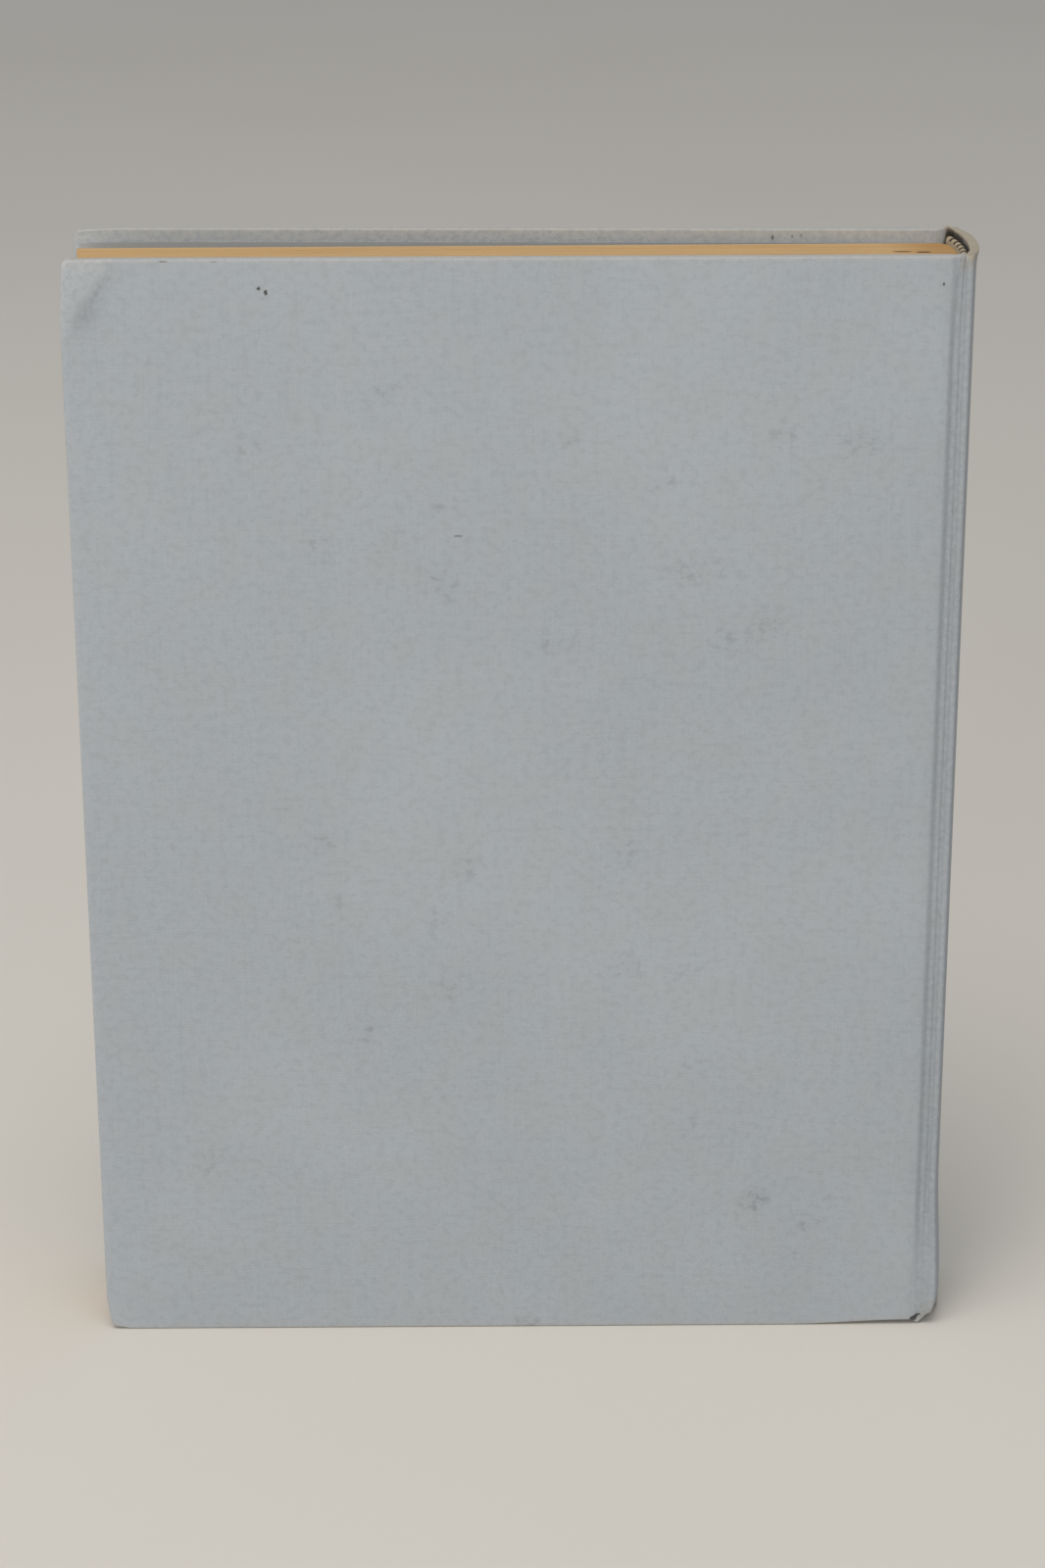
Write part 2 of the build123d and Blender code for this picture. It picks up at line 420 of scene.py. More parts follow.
def set_ajar(points, share):
    """Points of the closed front cover, turned about its hinge by a share of the rest angle."""
    turn = ajar_angle * share
    x, y = points[:, 0].copy(), points[:, 1] - hinge_level
    points[:, 0] = x * np.cos(turn) + y * np.sin(turn)
    points[:, 1] = hinge_level - x * np.sin(turn) + y * np.cos(turn)
    return points


# %% [markdown]
# ## A shell from rings
# A slab such as a cover can be modelled as a stack of rings: at each height the outline goes along
# the inside, round the fore-edge and back along the outside. Rings near the head and tail draw
# in, which rounds the edges, and a strip between partners closes each end. A mesh built this way
# has even faces, known coordinates along the cloth, and needs no sculpting.

# %% Rings
round_steps = 7
rim_steps = 5
ring_gap = 0.9
first_ring_gap = 0.7
cap_lean = 0.9
cap_lean_out = (1.8, 3.3)
cap_lean_span = (2.2, 0.0)
most_drawn_in = 0.45
hair = 0.01


def ring_levels(bottom, top, spacing):
    """Heights of the rings, close together at both ends."""
    rounding = edge_round * (1.0 - np.cos(np.linspace(0.0, math.pi / 2, round_steps)))
    close = np.arange(edge_round + first_ring_gap, turn_in, ring_gap)
    end = np.concatenate((rounding, close, [turn_in]))
    middle = np.linspace(bottom + turn_in, top - turn_in, int((top - bottom) / spacing))[1:-1]
    return np.concatenate((bottom + end, middle, (top - end)[::-1]))


def drawn_in(levels, radius, bottom, top):
    """How far a rounded end of a radius draws in at each level."""
    past = np.maximum(np.maximum(levels - (top - radius), bottom + radius - levels), 0.0)
    return radius - np.sqrt(np.maximum(radius**2 - past**2, 0.0))


def fore_rim(start_x, inside, outside):
    """The points that go round a fore-edge, from the inside to the outside."""
    quarter = np.linspace(0.0, math.pi / 2, rim_steps)
    low = np.column_stack((
        start_x + inner_round * (1.0 - np.sin(quarter[1:])),
        inside + inner_round * (1.0 - np.cos(quarter[1:])),
    ))
    high = np.column_stack((
        start_x + edge_round * (1.0 - np.cos(quarter[:-1])),
        outside - edge_round * (1.0 - np.sin(quarter[:-1])),
    ))
    return np.concatenate((low, high))


def cap_swelling(inner, level):
    """How far the folded cloth of the head cap leans in over the sewn band."""
    return cap_lean * rise(inner[:, 0], cap_lean_out) * rise(height - level, cap_lean_span)


def shell_points(outer, inner, rim, levels, corner_in):
    """The points of every ring, each ring running inside, rim, outside."""
    way = outer - inner
    gap = np.linalg.norm(way, axis=1)
    unit = way / gap[:, None]
    bottom, top = levels[0], levels[-1]
    rings = []
    for level, corner in zip(levels, corner_in):
        here = np.array((level,))
        outer_in = np.minimum(drawn_in(here, edge_round, bottom, top), most_drawn_in * gap)
        inner_in = np.minimum(drawn_in(here, inner_round, bottom, top), most_drawn_in * gap)
        outside = outer - unit * outer_in[:, None]
        inside = inner + unit * (inner_in - cap_swelling(inner, level))[:, None]
        parts = [inside[::-1]]
        if len(rim):
            share = (rim[:, 1] - inner[0, 1]) / (outer[0, 1] - inner[0, 1])
            level_y = inside[0, 1] + share * (outside[0, 1] - inside[0, 1])
            parts.append(np.column_stack((rim[:, 0], level_y)))
        ring = np.concatenate(parts + [outside])
        ring[:, 0] += corner * ease(1.0 - (ring[:, 0] - fore_x) / turn_in)
        rings.append(np.column_stack((ring, np.full(len(ring), level))))
    return np.array(rings)


# %% Faces between the rings
def shell_faces(rings, stations, rim_count, windowed, closed):
    """Faces between rings, and across both ends. A windowed shell is open inside, past its turn-ins."""
    levels, count = rings.shape[:2]
    from_fore = rings[levels // 2, :, 0] - fore_x
    heights = rings[:, 0, 2]
    faces = []
    for row in range(levels - 1):
        middle = heights[row] > turn_in - hair and heights[row + 1] < height - turn_in + hair
        for place in range(count if closed else count - 1):
            following = (place + 1) % count
            past_turn_in = min(from_fore[place], from_fore[following]) > turn_in - hair
            if windowed and middle and following < stations and past_turn_in:
                continue
            low, high = row * count, (row + 1) * count
            faces.append((low + place, low + following, high + following, high + place))
    for row, turned in ((0, True), (levels - 1, False)):
        start = row * count
        strip = []
        for station in range(stations - 1):
            outside = start + count - stations + station
            inside = start + stations - 1 - station
            strip.append((outside, outside + 1, inside - 1, inside))
        if rim_count:
            strip.append(tuple(range(start + stations - 1, start + stations + rim_count + 1)))
        faces += [face[::-1] for face in strip] if turned else strip
    return faces


# %% From points to a finished object
def build_mesh(name, points, faces, uv=None, values=None, flip=False):
    """A mesh in the frame from points in the book's axes, with a uv and values at each point."""
    used = np.unique(np.concatenate([np.array(face) for face in faces]))
    renumber = np.zeros(len(points), int)
    renumber[used] = np.arange(len(used))
    if flip:
        faces = [face[::-1] for face in faces]
    mesh = bpy.data.meshes.new(name)
    placed = (np.asarray(points)[used] + origin) / MILLIMETRES
    mesh.from_pydata(placed.tolist(), [], [renumber[list(face)].tolist() for face in faces])
    if uv is not None:
        corners = np.zeros(len(mesh.loops), int)
        mesh.loops.foreach_get("vertex_index", corners)
        layer = mesh.uv_layers.new(name="cloth")
        layer.data.foreach_set("uv", np.asarray(uv)[used][corners].astype(np.float32).ravel())
    for label, value in (values or {}).items():
        attribute = mesh.attributes.new(label, "FLOAT", "POINT")
        attribute.data.foreach_set("value", np.asarray(value)[used].astype(np.float32))
    mesh.update()
    return mesh


def show(name, mesh, thickness=0.0, sharp_angle=40.0, offset=-1.0):
    """An object for a mesh, given a thickness inward and smooth shading that keeps sharp edges."""
    thing = bpy.data.objects.new(name, mesh)
    bpy.context.scene.collection.objects.link(thing)
    if thickness:
        wall = thing.modifiers.new("wall", "SOLIDIFY")
        wall.thickness = thickness / MILLIMETRES
        wall.offset = offset
        wall.use_even_offset = True
        bake(thing)
    thing.data.shade_smooth()
    thing.data.set_sharp_from_angle(angle=math.radians(sharp_angle))
    return thing


def bake(thing):
    """Turns an object's modifiers into its plain mesh."""
    solid = bpy.data.meshes.new_from_object(
        thing.evaluated_get(bpy.context.evaluated_depsgraph_get())
    )
    thing.modifiers.clear()
    old = thing.data
    thing.data = solid
    bpy.data.meshes.remove(old)
    solid.name = thing.name


def in_frame(x, y, z):
    """A point of the book's axes in the frame, in metres."""
    return tuple((np.array((x, y, z)) + origin) / MILLIMETRES)


# %% [markdown]
# ## The case cloth
# A case is one piece of cloth, but here two hinges move it, and a blended piece can bend at one.
# So the cloth is parted in the front groove, where a fold hides the seam: one piece has the back
# cover and the whole spine, and the other has the front cover. Soil, wear, painted light and
# painted shade are kept as values on the points, because they follow the edges and caps.

# %% Rubbed marks on the cloth
# Each mark has its distance from the fore-edge, its height, its half width and height, and its strength.
rubbed_marks = (
    (169.8, 195.2, 3.5, 3.0, 0.58), (152.0, 208.6, 7.0, 2.6, 0.4), (117.4, 189.1, 5.0, 1.6, 0.45),
    (160.8, 190.2, 5.0, 3.0, 0.3), (75.9, 253.6, 4.0, 2.5, 0.35), (42.9, 240.0, 4.5, 3.0, 0.16),
    (76.9, 216.2, 4.0, 2.5, 0.4), (60.2, 214.5, 4.0, 2.0, 0.45), (88.7, 206.9, 3.0, 3.5, 0.42),
    (92.3, 203.1, 2.0, 1.8, 0.5), (60.0, 138.2, 3.0, 2.0, 0.45), (63.1, 120.4, 4.5, 3.5, 0.2),
    (69.9, 85.6, 2.4, 2.2, 0.7), (95.3, 130.8, 5.0, 3.0, 0.42), (136.1, 103.7, 4.5, 3.0, 0.3),
    (151.1, 102.3, 3.0, 2.0, 0.26), (152.2, 57.6, 3.0, 2.2, 0.32), (169.8, 37.4, 3.4, 2.6, 1.1),
    (183.3, 29.6, 2.8, 2.6, 0.55), (180.4, 20.9, 2.5, 2.0, 0.25), (190.7, 38.1, 3.5, 2.5, 0.18),
    (191.8, 241.0, 6.0, 3.0, 0.36), (172.8, 242.3, 4.0, 2.5, 0.36), (109.8, 1.0, 2.6, 1.4, 1.0),
    (121.2, 241.3, 2.5, 2.2, 0.4), (143.9, 230.9, 2.5, 2.5, 0.45), (90.1, 225.5, 3.0, 2.0, 0.45),
    (90.8, 97.2, 3.0, 2.5, 0.45), (152.7, 75.4, 4.0, 3.0, 0.22), (28.6, 49.1, 3.5, 3.0, 0.3),
    (88.5, 116.7, 3.0, 3.0, 0.34), (135.9, 134.6, 3.0, 4.0, 0.3),
)
mark_edge = (1.5, 0.25)


def mark_strength(points):
    """How strongly points on the back cover's face are marked."""
    strongest = np.zeros(len(points))
    for across, up, half_width, half_height, strength in rubbed_marks:
        away = np.hypot((points[:, 0] - fore_x - across) / half_width, (points[:, 2] - up) / half_height)
        strongest = np.maximum(strongest, strength * rise(away, mark_edge))
    return strongest * (points[:, 1] < -board_outer)


print(len(rubbed_marks), "rubbed marks")

# %% Where the cloth is worn and soiled, and where light is painted inside the turn-ins
# Each strength is the value where that kind of wear or soil is full.
wear_strengths = {"rim": 0.4, "corner": 0.35, "fold": 0.5, "lump": 1.3, "inside": 1.0}
rim_wear_fall = 0.6
worn_corner_place = (0.0, 9.0, 0.0, 7.0)
worn_fold_span = (-0.5, 2.0)
worn_lump_place = (1.9, 1.3, 0.8, 2.2)
pale_inside_span = (9.0, 3.0)
pale_inside_x = 0.5
soil_strengths = {"head_cap": 1.0, "tail_cap": 0.4, "ends": 0.25, "inside": 0.1}
head_soil_fall = 1.9
tail_soil_fall = 3.0
end_soil_fall = 0.8
inside_soil_fall = 5.0
spine_span = (0.4, 1.6)
clean_lump = 0.7


def weighted(strengths, places):
    """The sum of places, each with its strength, kept between 0 and 1."""
    return np.clip(sum(strengths[label] * place for label, place in places.items()), 0.0, 1.0)


def wear_and_soil(points, rim_distance, inside, folded_corner):
    """How far the cloth is rubbed pale, with painted light on the inside turn-ins near the head, and how
    far it is soiled.
    """
    from_head, from_tail = height - points[:, 2], points[:, 2]
    ends = np.minimum(from_head, from_tail)
    lump = spot(points[:, 0], from_head, worn_lump_place) * (points[:, 1] < 0)
    wear_and_light = weighted(wear_strengths, {
        "rim": np.exp(-rim_distance / rim_wear_fall),
        "corner": spot(points[:, 0] - fore_x, ends, worn_corner_place),
        "fold": folded_corner,
        "lump": lump,
        # painted light: the inside turn-ins near the head are made paler
        "inside": inside * rise(from_head, pale_inside_span) * (points[:, 0] < pale_inside_x),
    })
    on_cap = rise(points[:, 0], spine_span) * (1.0 - clean_lump * lump)
    soil = weighted(soil_strengths, {
        "head_cap": on_cap * np.exp(-from_head / head_soil_fall),
        "tail_cap": on_cap * np.exp(-from_tail / tail_soil_fall),
        "ends": np.exp(-ends / end_soil_fall),
        "inside": inside * np.exp(-from_head / inside_soil_fall),
    })
    return wear_and_light, soil


# %% Painted shade on the cloth, and in the hollow behind the spine
corner_side_x = -150.0
blotch_place = (5.5, 4.0, 12.0, 5.0)
blotch_shade = 0.42
blotch_middle = -1.0
blotch_width = 3.0
crease_shade_place = (7.5, 7.0, 9.0, 10.0)
crease_shade = 0.5
crease_shade_span = (0.7, -0.3)
crease_shade_fall = 1.8
spine_shade = 0.22
spine_shade_span = (-0.6, 0.6)
tail_fold_shade = 0.3
tail_fold_place = (3.0, 2.5, 0.0, 2.2)
lip_height = 1.1
far_lip_loss = 0.85
far_lip_span = (5.0, 11.0)
lip_slant = 0.6
lip_fade = (0.0, 0.6)
near_hollow_x = -0.9
far_hollow_x = 0.9
far_hollow_lean = 0.16
far_hollow_reach = 6.0
hollow_fade = (0.0, 0.9)


def shade_values(points, near_corner, past):
    """Painted shade in the creased corner, along the joint and over the spine, and on the fold at the
    tail.
    """
    from_fore, from_head = points[:, 0] - fore_x, height - points[:, 2]
    blotch = blotch_shade * spot(from_fore, from_head, blotch_place)
    blotch *= bell(past - blotch_middle, blotch_width)
    crease = crease_shade * spot(from_fore, from_head, crease_shade_place) * rise(past, crease_shade_span)
    crease *= np.exp(np.minimum(past, 0.0) / crease_shade_fall)
    shade = np.maximum(crease, blotch) * near_corner
    # painted shade over the joint and the whole spine, where the shoulder turns from the light, with some
    # handling soil
    shade += spine_shade * rise(points[:, 0], spine_shade_span)
    # painted shade on the fold at the spine's tail corner
    tail_fold = spot(points[:, 0], points[:, 2], tail_fold_place) * (points[:, 1] < 0)
    return shade + tail_fold_shade * tail_fold


def hollow_shade_values(points, inside):
    """Painted shade in the hollow behind the spine, below the lip of the folded cap."""
    ends = np.minimum(height - points[:, 2], points[:, 2])
    lip = lip_height - far_lip_loss * rise(points[:, 1], far_lip_span)
    below_lip = ends - lip - lip_slant * np.maximum(-points[:, 0], 0.0)
    far_start = far_hollow_x - far_hollow_lean * np.minimum(ends, far_hollow_reach)
    start = np.where(points[:, 1] < 0, near_hollow_x, far_start)
    return inside * rise(points[:, 0] - start, hollow_fade) * rise(below_lip, lip_fade)


def cloth_values(points, rim_distance, inside):
    """Values of wear and painted light, soil, painted shade, the hollow's painted shade and marks at
    points of the closed cloth.
    """
    near_corner = (points[:, 1] < 0) & (points[:, 0] < corner_side_x)
    past = past_crease(points)
    folded_corner = rise(past, worn_fold_span) * near_corner
    wear_and_light, soil = wear_and_soil(points, rim_distance, inside, folded_corner)
    return {
        "wear_and_light": wear_and_light,
        "soil": soil,
        "shade": shade_values(points, near_corner, past),
        "recess_shade": hollow_shade_values(points, inside),
        "mark": mark_strength(points),
    }


# %% Build the two pieces of case cloth
cloth_wall_share = 0.94


def case_cloth(name, outer, inner, along, spacing, flip):
    """A piece of case cloth from its section, with its turn-ins."""
    levels = ring_levels(0.0, height, spacing)
    side = math.copysign(1.0, outer[0, 1])
    rim = fore_rim(fore_x, turn_in_face, cover_face) * np.array((1.0, side))
    tail_round = bumped_corner_round if side < 0 else plain_corner_round
    head_corner = drawn_in(levels, plain_corner_round, 0.0, height) * (levels > height / 2)
    tail_corner = drawn_in(levels, tail_round, 0.0, height) * (levels < height / 2)
    rings = shell_points(outer, inner, rim, levels, head_corner + tail_corner)
    stations = len(outer)
    count = rings.shape[1]
    faces = shell_faces(rings, stations, len(rim), True, False)

    around = np.linspace(0.0, -(cover_face - turn_in_face), len(rim) + 2)
    u = np.concatenate(((around[-1] - along)[::-1], around[1:-1][::-1], along))
    points = rings.reshape(-1, 3)
    uv = np.column_stack((np.tile(u, len(levels)), points[:, 2]))
    inside = np.tile(np.arange(count) < stations, len(levels))
    folded = inside & (np.minimum(points[:, 2], height - points[:, 2]) < turn_in - hair)
    past_end = np.where(points[:, 2] < height / 2, -points[:, 2], 2 * height - points[:, 2])
    board_edge = np.where(points[:, 2] < height / 2, around[-1], -around[-1])
    uv[folded, 0] = np.tile(np.concatenate((along[::-1], np.zeros(count - stations))), len(levels))[folded]
    uv[folded, 1] = (past_end + board_edge)[folded]

    ends = np.minimum(points[:, 2], height - points[:, 2])
    values = cloth_values(points, np.minimum(ends, np.maximum(points[:, 0] - fore_x, 0.0)), inside)
    shaped = worn(points)
    if side > 0:
        shaped = set_ajar(shaped, rise(points[:, 0], (hinge_half_width, -hinge_half_width)))
    mesh = build_mesh(name, shaped, faces, uv, values, flip)
    return show(name, mesh, thickness=cloth_wall_share * cloth_thickness)


mirrored = np.array((1.0, -1.0))
far_outer = half_outer[seam_station - 1:-1][::-1]
far_inner = half_inner[seam_station - 1:-1][::-1]
far_along = 2 * half_along[-1] - half_along[seam_station - 1:-1][::-1]
back_case_cloth = case_cloth(
    "back_case_cloth",
    np.concatenate((half_outer * mirrored, far_outer)),
    np.concatenate((half_inner * mirrored, far_inner)),
    np.concatenate((half_along, far_along)),
    spacing=3.2,
    flip=False,
)
front_case_cloth = case_cloth(
    "front_case_cloth",
    half_outer[:seam_station],
    half_inner[:seam_station],
    half_along[:seam_station],
    spacing=6.5,
    flip=True,
)
for piece in (back_case_cloth, front_case_cloth):
    print(piece.name, len(piece.data.polygons), "faces")

# %% [markdown]
# ## Boards and spine card
# Under the cloth lie stiff boards and a card strip in the spine. They hardly show, but at a bumped
# corner they have to be bumped as well, so they are made from the same rings and moved by the same
# function.

# %% Build the boards and the spine card
board_bottom, board_top = cloth_thickness, height - cloth_thickness
board_levels = ring_levels(board_bottom, board_top, spacing=12.0)
board_round = 1.25
board_edge_stations = 15
board_flat_stations = 22
board_round_stations = 7
card_stations = 41


def cover_board(name, side):
    """A cover's board: a slab with a rounded joint edge."""
    board_fore_x = fore_x + cloth_thickness
    center = np.array((board_joint_x - board_round, board_outer - board_round))
    rounded = arc(center, board_round, np.linspace(math.pi / 2, 0.0, board_round_stations))
    flat_x = np.concatenate((
        board_fore_x + np.linspace(edge_round, turn_in, board_edge_stations),
        np.linspace(board_fore_x + turn_in, rounded[0, 0], board_flat_stations)[1:-1],
    ))
    flat = np.column_stack((flat_x, np.full(len(flat_x), board_outer)))
    outer = np.concatenate((flat, rounded))
    inner = np.column_stack((outer[:, 0], np.full(len(outer), board_inner)))
    inner[0, 0] = board_fore_x + inner_round
    turned = np.array((1.0, side))
    rim = fore_rim(board_fore_x, board_inner, board_outer)
    corner = drawn_in(board_levels, bumped_corner_round - cloth_thickness, board_bottom, board_top)
    rings = shell_points(outer * turned, inner * turned, rim * turned, board_levels, corner)
    faces = shell_faces(rings, len(outer), len(rim), False, True)
    points = worn(rings.reshape(-1, 3))
    if side > 0:
        points = set_ajar(points, 1.0)
    return show(name, build_mesh(name, points, faces, flip=side > 0))


def spine_card():
    """The card inlay that stiffens the spine."""
    angles = np.linspace(-inner_shoulder_angle, inner_shoulder_angle, card_stations)
    outer = arc(spine_center, spine_radius - cloth_thickness, angles)
    inner = arc(spine_center, spine_radius - cloth_thickness - inlay_thickness, angles)
    rings = shell_points(outer, inner, np.zeros((0, 2)), board_levels, np.zeros(len(board_levels)))
    faces = shell_faces(rings, len(outer), 0, False, True)
    return show("spine_card", build_mesh("spine_card", worn(rings.reshape(-1, 3)), faces))


back_cover_board = cover_board("back_cover_board", -1.0)
front_cover_board = cover_board("front_cover_board", 1.0)
spine_card_strip = spine_card()
print("boards", len(back_cover_board.data.polygons), "faces each")

# %% [markdown]
# ## The leaves
# Two hundred leaves can't each be a solid, but their edges can be modelled: the block is a stack
# of thin slices, and each slice stands out or in by a hair at the head, the fore-edge and the
# tail. Slices of one folded section keep together. The back is round and the fore-edge is as
# hollow as the back is round, because every leaf is equally wide.

# %% Build the leaf block
slice_count = 132
slices_per_section = 11
leaf_seed = 11
section_unevenness = 0.05
leaf_unevenness = 0.045
edge_shares = np.array((1.0, 1.6, 1.0))
flare = block_high[1] - block_face
flare_length = 3.0
block_bottom, block_top = block_low[2], block_high[2]
fore_taper = 1.8
shoulder_loss = 1.2
shoulder_span = (0.75, 1.0)
back_share = 0.03
back_stations = 9
width_stations = 19
height_stations = 13
block_back_radius = back_apex_x - spine_center[0]
page_width = spine_center[0] + math.sqrt(block_back_radius**2 - block_face**2) - page_fore_x


def leaf_y(share, x):
    """Where a leaf at a share of the thickness lies at x."""
    flare_start = spine_center[0] + math.sqrt(block_back_radius**2 - block_high[1] ** 2) - flare_length
    spread = flare * np.clip((x - flare_start) / flare_length, 0.0, 1.0) ** 2
    taper = fore_taper * np.clip((flare_start - x) / (flare_start - page_fore_x), 0.0, 1.0)
    low = -block_face - spread
    return low + share * (block_face + spread - taper - low)


def leaf_ring(share, head, fore, tail):
    """The outline of one slice's face, drawn in by small amounts at its three cut edges."""
    flat_y = -block_face + share * 2 * block_face
    back_x = spine_center[0] + math.sqrt(block_back_radius**2 - flat_y**2)
    front_x = back_x - page_width + fore
    back_x -= shoulder_loss * rise(abs(2 * share - 1), shoulder_span)
    steps = np.concatenate((
        np.linspace(0.0, back_share, back_stations),
        np.linspace(back_share, 1.0, width_stations)[1:],
    ))
    x = back_x + (front_x - back_x) * steps
    y = leaf_y(share, x)
    top = np.column_stack((x, y, np.full(len(x), block_top - head)))
    bottom = np.column_stack((x, y, np.full(len(x), block_bottom + tail)))
    side_z = np.linspace(block_top - head, block_bottom + tail, height_stations)[1:-1]
    side = np.column_stack((np.full(len(side_z), x[-1]), np.full(len(side_z), y[-1]), side_z))
    return np.concatenate((top, side, bottom[::-1]))


def leaf_block_mesh():
    """The stack of slices, closed at the back and on both faces."""
    random = np.random.default_rng(leaf_seed)
    section_shape = (slice_count // slices_per_section, len(edge_shares))
    section_step = np.abs(random.normal(0.0, section_unevenness, section_shape))
    rings, tones = [], []
    for number in range(slice_count):
        section = section_step[number // slices_per_section]
        leaf_step = np.abs(random.normal(0.0, leaf_unevenness, len(edge_shares)))
        head, fore, tail = section + leaf_step * edge_shares
        tone = random.uniform()
        for edge in (number, number + 1):
            rings.append(leaf_ring(edge / slice_count, head, fore, tail))
            tones.append(tone)
    rings = np.array(rings)
    count = rings.shape[1]
    faces = []
    for row in range(len(rings) - 1):
        low, high = row * count, (row + 1) * count
        for place in range(count):
            following = (place + 1) % count
            faces.append((low + place, low + following, high + following, high + place))
    faces.append(tuple(range(count))[::-1])
    faces.append(tuple(range((len(rings) - 1) * count, len(rings) * count)))
    values = {"tone": np.repeat(tones, count)}
    return build_mesh("leaf_block", rings.reshape(-1, 3), faces, values=values, flip=True)


leaf_block = show("leaf_block", leaf_block_mesh(), sharp_angle=25.0)
print("leaf block", len(leaf_block.data.polygons), "faces")

# %% [markdown]
# ## Endpapers
# A folded sheet joins the block to each cover: the free flyleaf, a narrow fold in the joint, and
# the pastedown glued inside the board. The turned-in cloth shows through the pastedown as a low
# ridge. The flyleaf moves with the block and the pastedown with its cover, so the fold between
# them is a strip of its own that bends.

# %% Build the endpapers
fold_start = np.array((0.6, 13.97))
fold_gap = 0.04
fold_end = np.array((board_joint_x - fold_gap, -paste_high[1] + paper_thickness / 2))
flyleaf_gap = 0.005
ridge_depth = 0.24
ridge_width = 1.6
ridge_stations = 6
page_rows = 24
page_columns = 30
joint_columns = 9
fold_columns = 33


def sheet_grid(name, x_values, z_values, level, side, share, dented):
    """A sheet of paper over a grid, at a level and with a share of its cover's turn at each place."""
    x, z = np.meshgrid(x_values, z_values)
    points = np.column_stack((x.ravel(), level(x, z).ravel() * side, z.ravel()))
    uv = points[:, [0, 2]]
    columns = len(x_values)
    faces = []
    for row in range(len(z_values) - 1):
        for column in range(columns - 1):
            start = row * columns + column
            faces.append((start, start + 1, start + columns + 1, start + columns))
    if dented:
        points = worn(points)
    if side > 0:
        points = set_ajar(points, share(x.ravel()))
    mesh = build_mesh(name, points, faces, uv, flip=side > 0)
    return show(name, mesh, thickness=paper_thickness, offset=0.0)


def flyleaf_level(side):
    """The level of a flyleaf's middle on its face of the block."""
    def level(x, z):
        share = 1.0 if side > 0 else 0.0
        return np.abs(leaf_y(share, x)) + paper_thickness / 2 + flyleaf_gap
    return level


def pastedown_level(x, z):
    """The level of a pastedown's middle, which sinks a little inside the turn-ins."""
    inset = np.minimum(np.minimum(z, height - z), x - fore_x) - turn_in
    return -paste_high[1] + paper_thickness / 2 + ridge_depth * ease(inset / ridge_width)


def fold_level(x, z):
    """The level of the fold that runs from the flyleaf to the pastedown."""
    return np.interp(x, (fold_end[0], fold_start[0]), (fold_end[1], fold_start[1]))


def fold_share(x):
    """How far the fold has turned with its cover at x."""
    return ease((fold_start[0] - x) / (fold_start[0] - fold_end[0]))


ridge = turn_in + np.linspace(0.0, ridge_width, ridge_stations)
page_z = np.linspace(block_bottom, block_top, page_rows)
paste_z = np.unique(np.concatenate((page_z, ridge, height - ridge)))
fly_x = np.concatenate((
    np.linspace(page_fore_x, fly_high[0], page_columns),
    np.linspace(fly_high[0], fold_start[0], joint_columns)[1:],
))
paste_x = np.unique(np.concatenate((np.linspace(page_fore_x, fold_end[0], page_columns), fore_x + ridge)))
fold_x = np.linspace(fold_start[0], fold_end[0], fold_columns)[::-1]
endpapers = {}
for label, side in (("back", -1.0), ("front", 1.0)):
    for kind, x_values, z_values, level, share in (
        ("flyleaf_paper", fly_x, page_z, flyleaf_level(side), np.zeros_like),
        ("pastedown_paper", paste_x, paste_z, pastedown_level, np.ones_like),
        ("endpaper_fold", fold_x, page_z, fold_level, fold_share),
    ):
        dented = kind == "pastedown_paper"
        name = f"{label}_{kind}"
        endpapers[name] = sheet_grid(name, x_values, z_values, level, side, share, dented)
print("endpapers", sorted(endpapers))

# %% [markdown]
# ## Sewn bands with Geometry Nodes
# A band of thread is wound over a core at the head and tail of the block's back. It repeats and
# follows an arc, which is what Geometry Nodes are for: an arc is sampled, a ring of thread stands
# on every sample, turned along the arc and leaning a little, and every few rings take the dark
# thread. The tape that holds the band is swept along the same arc.


# %% A helper for node trees
def add(tree, kind, inputs=None, **settings):
    """A node with its settings, and its inputs linked or set."""
    made = tree.nodes.new(kind)
    for label, value in settings.items():
        setattr(made, label, value)
    for label, value in (inputs or {}).items():
        if isinstance(value, bpy.types.NodeSocket):
            tree.links.new(value, made.inputs[label])
        else:
            made.inputs[label].default_value = value
    return made


def maths(tree, operation, first, second=0.0, third=0.0):
    """The result of one sum on numbers or sockets."""
    inputs = {0: first, 1: second, 2: third}
    return add(tree, "ShaderNodeMath", inputs, operation=operation).outputs[0]


# %% The band's node tree
band_inputs = {
    "Arc Radius": ("NodeSocketFloat", 0.0571),
    "Half Angle": ("NodeSocketFloat", 0.239),
    "Wraps": ("NodeSocketInt", 64),
    "Core Radius": ("NodeSocketFloat", 0.00063),
    "Thread Radius": ("NodeSocketFloat", 0.00022),
    "Lean": ("NodeSocketFloat", 0.35),
    "Repeat": ("NodeSocketInt", 8),
    "Dark Wraps": ("NodeSocketInt", 3),
    "Tape Inset": ("NodeSocketFloat", 0.000825),
    "Tape Height": ("NodeSocketFloat", 0.01085),
    "Tape Thickness": ("NodeSocketFloat", 0.00025),
    "Thread": ("NodeSocketMaterial", None),
}


arc_steps = 96
core_steps = 14
thread_steps = 6


